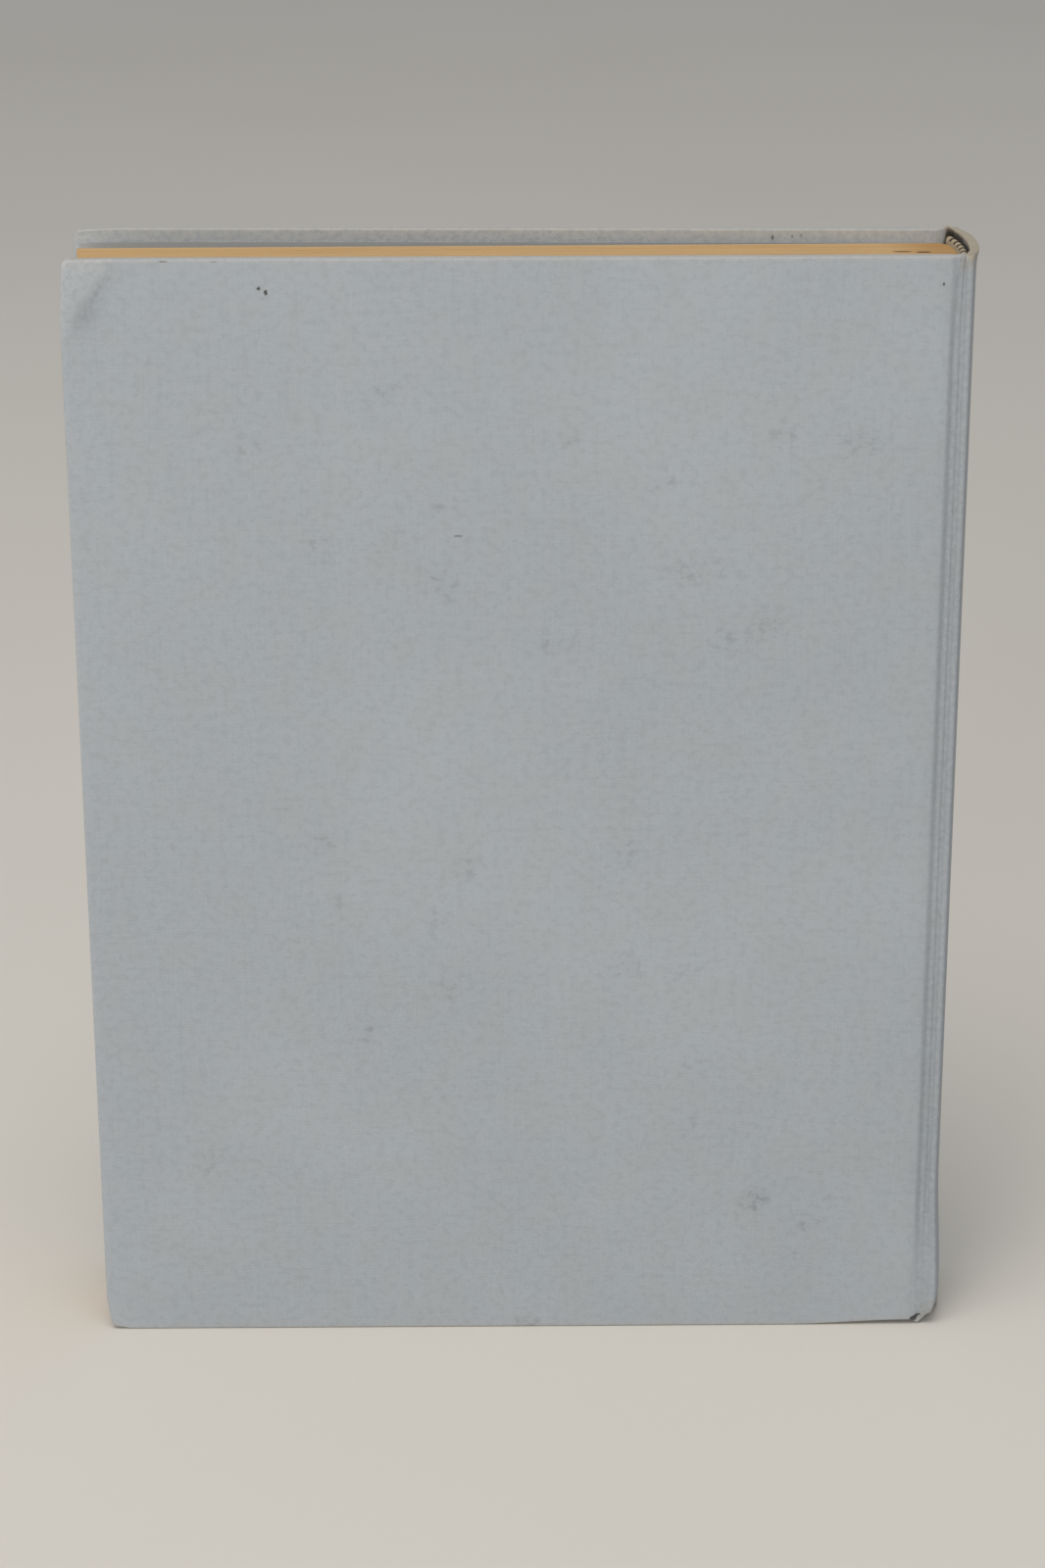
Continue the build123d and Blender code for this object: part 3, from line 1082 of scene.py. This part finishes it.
def band_tree():
    """The node tree that winds a band along an arc about its own origin."""
    tree = bpy.data.node_groups.new("wound_band", "GeometryNodeTree")
    for label, (kind, value) in band_inputs.items():
        socket = tree.interface.new_socket(label, in_out="INPUT", socket_type=kind)
        if value is not None:
            socket.default_value = value
    tree.interface.new_socket("Geometry", in_out="OUTPUT", socket_type="NodeSocketGeometry")
    given = add(tree, "NodeGroupInput").outputs
    start = maths(tree, "MULTIPLY", given["Half Angle"], -1.0)
    sweep = maths(tree, "MULTIPLY", given["Half Angle"], 2.0)

    def arc_curve(radius):
        return add(
            tree, "GeometryNodeCurveArc",
            {"Resolution": arc_steps, "Radius": radius, "Start Angle": start, "Sweep Angle": sweep},
        ).outputs["Curve"]

    samples = add(
        tree, "GeometryNodeCurveToPoints",
        {"Curve": arc_curve(given["Arc Radius"]), "Count": given["Wraps"]},
    )

    def circle(steps, radius):
        kind = "GeometryNodeCurvePrimitiveCircle"
        return add(tree, kind, {"Resolution": steps, "Radius": radius}).outputs["Curve"]

    core = circle(core_steps, given["Core Radius"])
    profile = circle(thread_steps, given["Thread Radius"])
    wrap = add(tree, "GeometryNodeCurveToMesh", {"Curve": core, "Profile Curve": profile})
    lean = add(tree, "ShaderNodeCombineXYZ", {"X": given["Lean"]})
    leaning = add(
        tree, "FunctionNodeRotateRotation",
        {"Rotation": samples.outputs["Rotation"], "Rotate By": lean.outputs[0]},
        rotation_space="LOCAL",
    )
    wraps = add(
        tree, "GeometryNodeInstanceOnPoints",
        {
            "Points": samples.outputs["Points"],
            "Instance": wrap.outputs["Mesh"],
            "Rotation": leaning.outputs[0],
        },
    )
    number = add(tree, "GeometryNodeInputIndex").outputs[0]
    dark = maths(tree, "LESS_THAN", maths(tree, "MODULO", number, given["Repeat"]), given["Dark Wraps"])
    coloured = add(
        tree, "GeometryNodeStoreNamedAttribute",
        {"Geometry": wraps.outputs["Instances"], "Name": "dark", "Value": dark},
        data_type="FLOAT", domain="INSTANCE",
    )
    tape_profile = add(
        tree, "GeometryNodeCurvePrimitiveQuadrilateral",
        {"Width": given["Tape Thickness"], "Height": given["Tape Height"]},
    )
    tape = add(
        tree, "GeometryNodeCurveToMesh",
        {
            "Curve": arc_curve(maths(tree, "SUBTRACT", given["Arc Radius"], given["Tape Inset"])),
            "Profile Curve": tape_profile.outputs["Curve"],
            "Fill Caps": True,
        },
    )
    drop = maths(tree, "MULTIPLY", given["Tape Height"], -0.5)
    shift = add(tree, "ShaderNodeCombineXYZ", {"Z": drop})
    lowered = add(
        tree, "GeometryNodeTransform",
        {"Geometry": tape.outputs["Mesh"], "Translation": shift.outputs[0]},
    )
    joined = add(tree, "GeometryNodeJoinGeometry")
    tree.links.new(coloured.outputs["Geometry"], joined.inputs[0])
    tree.links.new(lowered.outputs["Geometry"], joined.inputs[0])
    real = add(tree, "GeometryNodeRealizeInstances", {"Geometry": joined.outputs[0]})
    finished = add(
        tree, "GeometryNodeSetMaterial",
        {"Geometry": real.outputs[0], "Material": given["Thread"]},
    )
    add(tree, "NodeGroupOutput", {"Geometry": finished.outputs[0]})
    return tree


# %% Wind the two bands
band_bead_radius = 0.85
band_bead_offset = 1.0
band_sharp_angle = 50.0
band_half_angle = math.asin(block_face / block_back_radius)
thread_finish = bpy.data.materials.new("band_thread")
wound_band = band_tree()


def wind_band(name, level, upward):
    """A band wound at a height, with its tape towards the middle of the block."""
    thing = bpy.data.objects.new(name, bpy.data.meshes.new(name))
    bpy.context.scene.collection.objects.link(thing)
    winding = thing.modifiers.new("winding", "NODES")
    winding.node_group = wound_band
    given = {
        "Arc Radius": (block_back_radius + band_bead_offset) / MILLIMETRES,
        "Half Angle": band_half_angle,
        "Thread": thread_finish,
    }
    for item in wound_band.interface.items_tree:
        if item.in_out == "INPUT" and item.name in given:
            winding[item.identifier] = given[item.name]
    bake(thing)
    center = in_frame(spine_center[0], 0.0, level)
    thing.data.transform(Matrix.Translation(center) @ Matrix.Diagonal((1.0, 1.0, upward, 1.0)))
    if upward < 0:
        thing.data.flip_normals()
    thing.data.shade_smooth()
    thing.data.set_sharp_from_angle(angle=math.radians(band_sharp_angle))
    return thing


head_band_thread = wind_band("head_band_thread", block_top + band_bead_radius, 1.0)
tail_band_thread = wind_band("tail_band_thread", block_bottom - band_bead_radius, -1.0)
print("band", len(head_band_thread.data.polygons), "faces")

# %% [markdown]
# ## Book cloth
# The cloth is a plain weave of fine pale threads. The weave, the uneven threads and the soft stains
# are all worked out from the cloth's own coordinates in millimetres, so they follow it round edges
# and grooves. The wear with its painted light, the soil, the painted shade and the rubbed marks are
# values on the cloth's points, broken up by fine noise so that they look rubbed into the threads.
# A few dark specks, and painted shade in small notches, are soft spots.


# %% Helpers for finishes
soft_specular = 0.25
sheen_roughness = 0.5


def finish(name, roughness, sheen=0.0):
    """A material with a shader of its own, and its tree."""
    made = bpy.data.materials.get(name) or bpy.data.materials.new(name)
    made.use_nodes = True
    tree = made.node_tree
    tree.nodes.clear()
    shader = add(tree, "ShaderNodeBsdfPrincipled")
    shader.inputs["Roughness"].default_value = roughness
    shader.inputs["Specular IOR Level"].default_value = soft_specular
    shader.inputs["Sheen Weight"].default_value = sheen
    shader.inputs["Sheen Roughness"].default_value = sheen_roughness
    add(tree, "ShaderNodeOutputMaterial", {"Surface": shader.outputs[0]})
    return made, tree, shader


def linear(red, green, blue):
    """A colour given as it looks on screen, from 0 to 255."""
    def channel(value):
        value /= 255.0
        return value / 12.92 if value <= 0.04045 else ((value + 0.055) / 1.055) ** 2.4
    return (channel(red), channel(green), channel(blue), 1.0)


def mixed(tree, first, second, share):
    """Two colours mixed by a share."""
    made = add(tree, "ShaderNodeMix", data_type="RGBA")
    for place, value in ((0, share), (6, first), (7, second)):
        if isinstance(value, bpy.types.NodeSocket):
            tree.links.new(value, made.inputs[place])
        else:
            made.inputs[place].default_value = value
    return made.outputs[2]


def ramp(tree, value, low, high, new_low=0.0, new_high=1.0):
    """A value moved smoothly from one range to another."""
    return add(
        tree, "ShaderNodeMapRange",
        {"Value": value, "From Min": low, "From Max": high, "To Min": new_low, "To Max": new_high},
        interpolation_type="SMOOTHSTEP",
    ).outputs[0]


def stretched_noise(tree, place, stretch, detail=3.0, rough=0.55):
    """Noise over a place that is first scaled along each axis, flat for two axes."""
    scaled = add(
        tree, "ShaderNodeVectorMath", {0: place, 1: (*stretch, 0.0)[:3]}, operation="MULTIPLY"
    )
    return add(
        tree, "ShaderNodeTexNoise",
        {"Vector": scaled.outputs[0], "Scale": 1.0, "Detail": detail, "Roughness": rough},
        noise_dimensions=f"{len(stretch)}D",
    ).outputs["Fac"]


def point_value(tree, label):
    """A value stored on a mesh's points."""
    return add(tree, "ShaderNodeAttribute", attribute_name=label).outputs["Fac"]


def object_place(tree):
    """The place on an object, in metres."""
    return add(tree, "ShaderNodeTexCoord").outputs["Object"]


def sheet_place(tree):
    """The place on a sheet of cloth or paper, in millimetres."""
    return add(tree, "ShaderNodeUVMap", uv_map="cloth").outputs[0]


def layered(tree, colour, *layers):
    """A colour under layers, each a tint, a pattern, the pattern's range and the most it covers."""
    for tint, pattern, low, high, most in layers:
        colour = mixed(tree, colour, tint, ramp(tree, pattern, low, high, 0.0, most))
    return colour


def coat(tree, shader, colour, relief, strength, depth=0.0001):
    """Gives a shader its colour and a fine relief."""
    tree.links.new(colour, shader.inputs["Base Color"])
    bump = add(tree, "ShaderNodeBump", {"Height": relief, "Strength": strength, "Distance": depth})
    tree.links.new(bump.outputs[0], shader.inputs["Normal"])


# %% Small dark specks, and painted shade in small notches
# Each speck has its place along the cloth and its height, its half width and height, and its strength.
# The specks 212 to 216 mm along, low by the tail and one by the head, are painted shade in the crushed
# tail corner's crease and beside the head lump.
back_specks_and_shade = (
    (47.5, 279.0, 0.6, 0.5, 0.62), (49.1, 277.9, 0.42, 0.65, 0.74), (209.9, 279.3, 0.35, 0.5, 0.5),
    (94.1, 217.6, 2.1, 0.5, 0.36), (25.0, 285.5, 1.3, 0.22, 0.45), (37.0, 285.4, 2.0, 0.2, 0.36),
    (213.6, 1.9, 0.55, 0.5, 0.8), (214.5, 2.5, 0.5, 0.35, 0.5), (215.2, 3.0, 0.4, 0.25, 0.3),
    (212.8, 1.1, 0.6, 0.45, 0.8), (212.0, 0.5, 0.6, 0.4, 0.8), (213.2, 284.9, 0.9, 0.8, 0.36),
)
front_specks = (
    (171.4, 290.9, 0.55, 1.0, 0.42), (176.2, 290.6, 0.5, 0.8, 0.36), (178.4, 290.4, 0.5, 0.8, 0.36),
)


def spots(tree, place, specks_and_shade):
    """The sum of many soft spots, each half as strong at its half width and height."""
    total = 0.0
    for across, up, half_width, half_height, strength in specks_and_shade:
        wide, high = 0.5 / half_width, 0.5 / half_height
        moved = add(
            tree, "ShaderNodeVectorMath",
            {0: place, 1: (wide, high, 0.0), 2: (-across * wide, -up * high, 0.0)},
            operation="MULTIPLY_ADD",
        ).outputs[0]
        soft = add(tree, "ShaderNodeTexGradient", {"Vector": moved}, gradient_type="SPHERICAL")
        total = maths(tree, "MULTIPLY_ADD", soft.outputs["Fac"], strength, total)
    return total


# %% The cloth's finish
thread_pitch = 0.46
thread_drift = 1.6
stray = 7.0
fewest_marks = 0.2
streak_relief = 0.5
cloth_colour = linear(172, 179, 186)
thread_shadow = linear(150, 157, 164)
pale_cloth = linear(180, 186, 191)
warm_cloth = linear(170, 172, 168)
worn_and_lit_colour = linear(192, 195, 196)
soil_colour = linear(178, 165, 142)
mark_and_shade_colour = linear(112, 115, 116)
speck_and_shade_colour = linear(58, 54, 50)
recess_shade_colour = linear(62, 54, 46)


def weave(tree, place):
    """The height of a plain weave: threads that pass over and under each other."""
    drift = stretched_noise(tree, place, (0.06, 0.06), detail=0.0)
    shifted = add(tree, "ShaderNodeSeparateXYZ", {0: place}).outputs
    waves = []
    for axis in ("X", "Y"):
        moved = maths(tree, "MULTIPLY_ADD", drift, thread_drift, shifted[axis])
        waves.append(maths(tree, "SINE", maths(tree, "MULTIPLY", moved, math.pi / thread_pitch)))
    over = maths(tree, "GREATER_THAN", maths(tree, "MULTIPLY", waves[0], waves[1]), 0.0)
    warp = maths(tree, "ABSOLUTE", waves[0])
    weft = maths(tree, "ABSOLUTE", waves[1])
    lifted = maths(tree, "MULTIPLY", over, maths(tree, "SUBTRACT", warp, weft))
    return maths(tree, "ADD", weft, lifted)


def cloth_finish(name, specks_and_shade):
    """Book cloth with its wear, painted light and painted shade, its rubbed marks and its specks."""
    made, tree, shader = finish(name, roughness=0.86, sheen=0.1)
    place = sheet_place(tree)
    height_of_weave = weave(tree, place)
    cloudy = stretched_noise(tree, place, (0.016, 0.013), detail=3.0)
    patchy = stretched_noise(tree, place, (0.7, 0.7), detail=3.0, rough=0.65)
    mottle = stretched_noise(tree, place, (0.085, 0.07), detail=4.0, rough=0.7)
    flecks = stretched_noise(tree, place, (0.42, 0.5), detail=3.0, rough=0.6)
    wavering = add(tree, "ShaderNodeVectorMath", {0: cloudy, 1: (stray, stray, 0.0)}, operation="MULTIPLY")
    strayed = add(tree, "ShaderNodeVectorMath", {0: place, 1: wavering.outputs[0]}, operation="ADD")
    along = stretched_noise(tree, strayed.outputs[0], (0.045, 1.5), detail=1.0)
    upward = stretched_noise(tree, strayed.outputs[0], (1.5, 0.045), detail=1.0)
    streaks = maths(tree, "MULTIPLY", along, upward)

    shadow = ramp(tree, height_of_weave, 0.15, 0.9, 0.42, 0.0)
    colour = layered(
        tree, mixed(tree, cloth_colour, thread_shadow, shadow),
        (thread_shadow, streaks, 0.36, 0.12, 0.15),
        (thread_shadow, patchy, 0.5, 0.75, 0.28),
        (pale_cloth, cloudy, 0.3, 0.75, 0.35),
        (warm_cloth, mottle, 0.3, 0.75, 0.28),
    )
    for label, tint, low, high, least, most in (
        # wear, with painted light on the inside turn-ins near the head
        ("wear_and_light", worn_and_lit_colour, 0.3, 0.62, 0.15, 0.75),
        ("soil", soil_colour, 0.15, 0.6, 0.7, 1.0),
        # painted shade in the crease, along the joint and spine, and on the tail fold
        ("shade", mark_and_shade_colour, 0.25, 0.6, 0.35, 1.0),
    ):
        broken = ramp(tree, patchy, low, high, least, most)
        colour = mixed(tree, colour, tint, maths(tree, "MULTIPLY", point_value(tree, label), broken))
    # painted shade in the hollow behind the spine
    colour = mixed(tree, colour, recess_shade_colour, point_value(tree, "recess_shade"))
    marked = maths(tree, "ADD", point_value(tree, "mark"), fewest_marks)
    rubs = maths(tree, "MULTIPLY", marked, ramp(tree, flecks, 0.46, 0.68, 0.14, 0.62))
    colour = mixed(tree, colour, mark_and_shade_colour, rubs)
    dots = maths(tree, "MULTIPLY", spots(tree, place, specks_and_shade), ramp(tree, patchy, 0.25, 0.55, 0.6, 1.8))
    colour = layered(tree, colour, (speck_and_shade_colour, dots, 0.3, 0.8, 0.9))
    raised = maths(tree, "MULTIPLY_ADD", streaks, streak_relief, height_of_weave)
    coat(tree, shader, colour, raised, strength=0.35)
    return made


back_cloth_finish = cloth_finish("back_book_cloth", back_specks_and_shade)
front_cloth_finish = cloth_finish("front_book_cloth", front_specks)
print("cloth finish", len(back_cloth_finish.node_tree.nodes), "nodes")

# %% [markdown]
# ## Paper, thread, card and board
# The leaf edges have gone tan with age, each slice in a tone of its own. The endpapers are a paler
# stock with faint fibres. Thread, lining and board are plain but never one flat colour.

# %% Page edges
page_colour = linear(202, 168, 120)
page_deep = linear(180, 140, 90)
page_pale = linear(212, 186, 144)
deep_length = 0.014
deep_end_x = -1.0
# Painted shadow in two gaps between sections at the head of the block.
leaf_gap_shadows = ((-10.4, 4.2, 1.7, 0.4, 1.8), (-5.3, 3.8, 1.3, 0.4, 2.0))


def page_finish():
    """The cut edges of aged leaves, deeper beside the spine, with painted shadow in two gaps between
    sections at the head.
    """
    made, tree, shader = finish("page_edges", roughness=0.9)
    place = object_place(tree)
    lines = stretched_noise(tree, place, (30.0, 9000.0, 30.0), detail=1.0)
    blotches = stretched_noise(tree, place, (18.0, 60.0, 18.0), detail=2.0)
    across = add(tree, "ShaderNodeSeparateXYZ", {0: place}).outputs["X"]
    spine_side = in_frame(deep_end_x, 0.0, 0.0)[0]
    local = add(
        tree, "ShaderNodeVectorMath",
        {0: place, 1: (MILLIMETRES,) * 3, 2: tuple(-origin)}, operation="MULTIPLY_ADD",
    ).outputs[0]
    up = add(tree, "ShaderNodeSeparateXYZ", {0: local}).outputs["Z"]
    upper = ramp(tree, up, height / 2, height / 2 + 1.0)
    gap_shadows = maths(tree, "MULTIPLY", spots(tree, local, leaf_gap_shadows), upper)
    colour = layered(
        tree, page_colour,
        (page_pale, point_value(tree, "tone"), 0.35, 1.0, 0.6),
        (page_deep, lines, 0.5, 0.25, 0.55),
        (page_deep, blotches, 0.5, 0.75, 0.35),
        (page_deep, across, spine_side - deep_length, spine_side, 0.7),
        (speck_and_shade_colour, gap_shadows, 0.35, 0.75, 1.0),
    )
    coat(tree, shader, colour, lines, strength=0.4)
    return made


# %% Endpaper
endpaper_colour = linear(208, 201, 186)
endpaper_stain = linear(200, 190, 170)
endpaper_fibre = linear(178, 168, 148)
dust_and_shade_colour = linear(166, 167, 166)
dust_and_shade_margin = 3.5
clean_rim = 0.3


def endpaper_finish():
    """Aged endpaper: an off-white sheet with faint fibres, its margins greyed by dust and by painted shade
    where they sit deep between cover and pages.
    """
    made, tree, shader = finish("endpaper", roughness=0.85)
    place = sheet_place(tree)
    fibres = stretched_noise(tree, place, (0.9, 0.9), detail=4.0, rough=0.7)
    cloudy = stretched_noise(tree, place, (0.012, 0.012), detail=2.0)
    colour = layered(
        tree, endpaper_colour,
        (endpaper_stain, cloudy, 0.3, 0.8, 0.4),
        (endpaper_fibre, fibres, 0.5, 0.8, 0.35),
    )
    across, up = add(tree, "ShaderNodeSeparateXYZ", {0: place}).outputs[:2]
    # painted shade, along with dust, greys the margins that sit deep between cover and pages
    dust_and_shade = ramp(tree, up, block_top - dust_and_shade_margin, block_top - clean_rim)
    for value, edge in ((up, block_bottom), (across, page_fore_x)):
        dust_and_shade = maths(tree, "MAXIMUM", dust_and_shade, ramp(tree, value, edge + dust_and_shade_margin, edge, 0.0, 0.8))
    colour = mixed(tree, colour, dust_and_shade_colour, dust_and_shade)
    coat(tree, shader, colour, fibres, strength=0.25)
    return made


# %% Thread and the plain stocks
pale_thread = linear(170, 158, 134)
dark_thread = linear(58, 50, 42)
twist_shadow = linear(120, 106, 84)
fibre_share = 0.4


def band_thread_finish():
    """Two threads in turn, cream and dark, with a twist."""
    made, tree, shader = finish("band_thread", roughness=0.7, sheen=0.1)
    twist = stretched_noise(tree, object_place(tree), (3500.0, 3500.0, 5200.0), detail=2.0)
    colour = mixed(tree, pale_thread, dark_thread, point_value(tree, "dark"))
    colour = layered(tree, colour, (twist_shadow, twist, 0.55, 0.75, 0.5))
    coat(tree, shader, colour, twist, strength=0.4)
    return made


def stock_finish(name, light, dark, scale):
    """A plain fibrous stock between two tones."""
    made, tree, shader = finish(name, roughness=0.92)
    stretch = (scale, scale, scale * fibre_share)
    fibres = stretched_noise(tree, object_place(tree), stretch, detail=5.0, rough=0.7)
    colour = layered(tree, light, (dark, fibres, 0.35, 0.7, 1.0))
    coat(tree, shader, colour, fibres, strength=0.3, depth=0.0002)
    return made


finishes = {
    "page_edges": page_finish(),
    "endpaper": endpaper_finish(),
    "band_thread": band_thread_finish(),
    "lining": stock_finish("lining", linear(176, 160, 130), linear(150, 132, 100), 900.0),
    "inlay_card": stock_finish("inlay_card", linear(150, 132, 106), linear(122, 104, 80), 700.0),
    "binder_board": stock_finish("binder_board", linear(140, 132, 118), linear(108, 100, 88), 600.0),
}
print("finishes", sorted(finishes))

# %% [markdown]
# ## Put the riding pieces on their bodies
# A piece that rides keeps its shape and moves with one body. The cloth and the folds of the
# endpapers cross a hinge; they are baked in place in the frame and ride on no body.


# %% Ride and replace
def dress(piece, material, slot, *nodes):
    """Gives a piece its finish and hides the nodes that it stands for. The slot is not used."""
    piece.data.materials.clear()
    piece.data.materials.append(material)
    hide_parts(*nodes)


dress(back_case_cloth, back_cloth_finish, "cover_cloth", "back_cloth", "spine_cloth")
dress(front_case_cloth, front_cloth_finish, "cover_cloth", "front_cloth")
for piece, side, body in ((back_case_cloth, -1.0, "back_cover"), (front_case_cloth, 1.0, "front_cover")):
    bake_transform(piece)
for label, side in (("back", -1.0), ("front", 1.0)):
    flyleaf = endpapers[f"{label}_flyleaf_paper"]
    pastedown = endpapers[f"{label}_pastedown_paper"]
    fold = endpapers[f"{label}_endpaper_fold"]
    dress(flyleaf, finishes["endpaper"], "endpaper", f"{label}_flyleaf")
    dress(pastedown, finishes["endpaper"], "endpaper", f"{label}_pastedown")
    dress(fold, finishes["endpaper"], "endpaper")
    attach(flyleaf, "book_block")
    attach(pastedown, f"{label}_cover")
    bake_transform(fold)
for piece, slot, node, body in (
    (back_cover_board, "binder_board", "back_board", "back_cover"),
    (front_cover_board, "binder_board", "front_board", "front_cover"),
    (spine_card_strip, "inlay_card", "spine_inlay", "book_block"),
    (leaf_block, "page_edges", "text_block", "book_block"),
    (head_band_thread, "band_thread", "head_band", "book_block"),
    (tail_band_thread, "band_thread", "tail_band", "book_block"),
):
    dress(piece, finishes[slot], slot, node)
    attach(piece, body)
lining = frame["nodes"]["spine_lining"]
lining.data.materials.clear()
lining.data.materials.append(finishes["lining"])

# %% [markdown]
# ## Stage, light and camera
# A pale floor and broad soft lamps show the cloth without harsh shadows: a key from the front left,
# a weaker fill from the right, a lamp above that lights the head, and an even grey sky. The camera's
# place and lens were fitted to the covers' edges, so the book stands in the picture as it does in
# the photograph.

# %% Floor
floor_half = 6.0
floor_colour = linear(226, 222, 214)
floor_shade = linear(218, 213, 204)


def floor_finish():
    """A pale, slightly uneven studio floor."""
    made, tree, shader = finish("studio_floor", roughness=0.95)
    cloudy = stretched_noise(tree, object_place(tree), (2.0, 2.0, 2.0), detail=2.0)
    colour = mixed(tree, floor_colour, floor_shade, cloudy)
    tree.links.new(colour, shader.inputs["Base Color"])
    return made


floor_corners = [(x * floor_half, y * floor_half, 0.0) for x, y in ((-1, -1), (1, -1), (1, 1), (-1, 1))]
floor_mesh = bpy.data.meshes.new("studio_floor")
floor_mesh.from_pydata(floor_corners, [], [(0, 1, 2, 3)])
studio_floor = bpy.data.objects.new("studio_floor", floor_mesh)
bpy.context.scene.collection.objects.link(studio_floor)
floor_mesh.materials.append(floor_finish())
print("floor", 2 * floor_half, "m wide")

# %% Lamps and sky
look_at = Vector((0.0, 0.0, 0.14))
sky_colour = (0.86, 0.88, 0.92, 1.0)
sky_strength = 0.45


def soft_lamp(name, place, size, watts, tint):
    """A square area lamp that faces the book."""
    lamp = bpy.data.lights.new(name, "AREA")
    lamp.size = size
    lamp.energy = watts
    lamp.color = tint
    thing = bpy.data.objects.new(name, lamp)
    thing.location = place
    thing.rotation_euler = (look_at - Vector(place)).to_track_quat("-Z", "Y").to_euler()
    bpy.context.scene.collection.objects.link(thing)
    return thing


soft_lamp("key", (-0.9, -1.9, 0.6), size=0.9, watts=13.5, tint=(1.0, 0.97, 0.93))
soft_lamp("fill", (1.4, -1.7, 0.5), size=1.4, watts=2.4, tint=(0.95, 0.97, 1.0))
soft_lamp("top", (-0.3, -0.65, 1.9), size=1.2, watts=17.0, tint=(1.0, 0.96, 0.9))

sky = bpy.data.worlds.new("studio_sky")
sky.use_nodes = True
sky.node_tree.nodes["Background"].inputs["Color"].default_value = sky_colour
sky.node_tree.nodes["Background"].inputs["Strength"].default_value = sky_strength
bpy.context.scene.world = sky

# %% Camera
camera_place = np.array((-5.911, -872.39, 475.747))
lens_length = 84.07
pitch = math.radians(20.708)
yaw = math.radians(0.404)
roll = math.radians(-0.158)

camera_data = bpy.data.cameras.new("view")
camera_data.lens = lens_length
camera_data.sensor_width = 36.0
camera = bpy.data.objects.new("view", camera_data)
bpy.context.scene.collection.objects.link(camera)
forward = Vector((math.sin(yaw) * math.cos(pitch), math.cos(yaw) * math.cos(pitch), -math.sin(pitch)))
level_right = Vector((math.cos(yaw), -math.sin(yaw), 0.0))
level_up = level_right.cross(forward)
right = math.cos(roll) * level_right + math.sin(roll) * level_up
up = math.cos(roll) * level_up - math.sin(roll) * level_right
turn = Matrix((right, up, -forward)).transposed()
camera.matrix_world = Matrix.Translation(camera_place / MILLIMETRES) @ turn.to_4x4()
bpy.context.scene.camera = camera
bpy.context.scene.view_settings.view_transform = "Standard"
print("camera", [round(length) for length in camera_place], "mm, lens", lens_length, "mm")
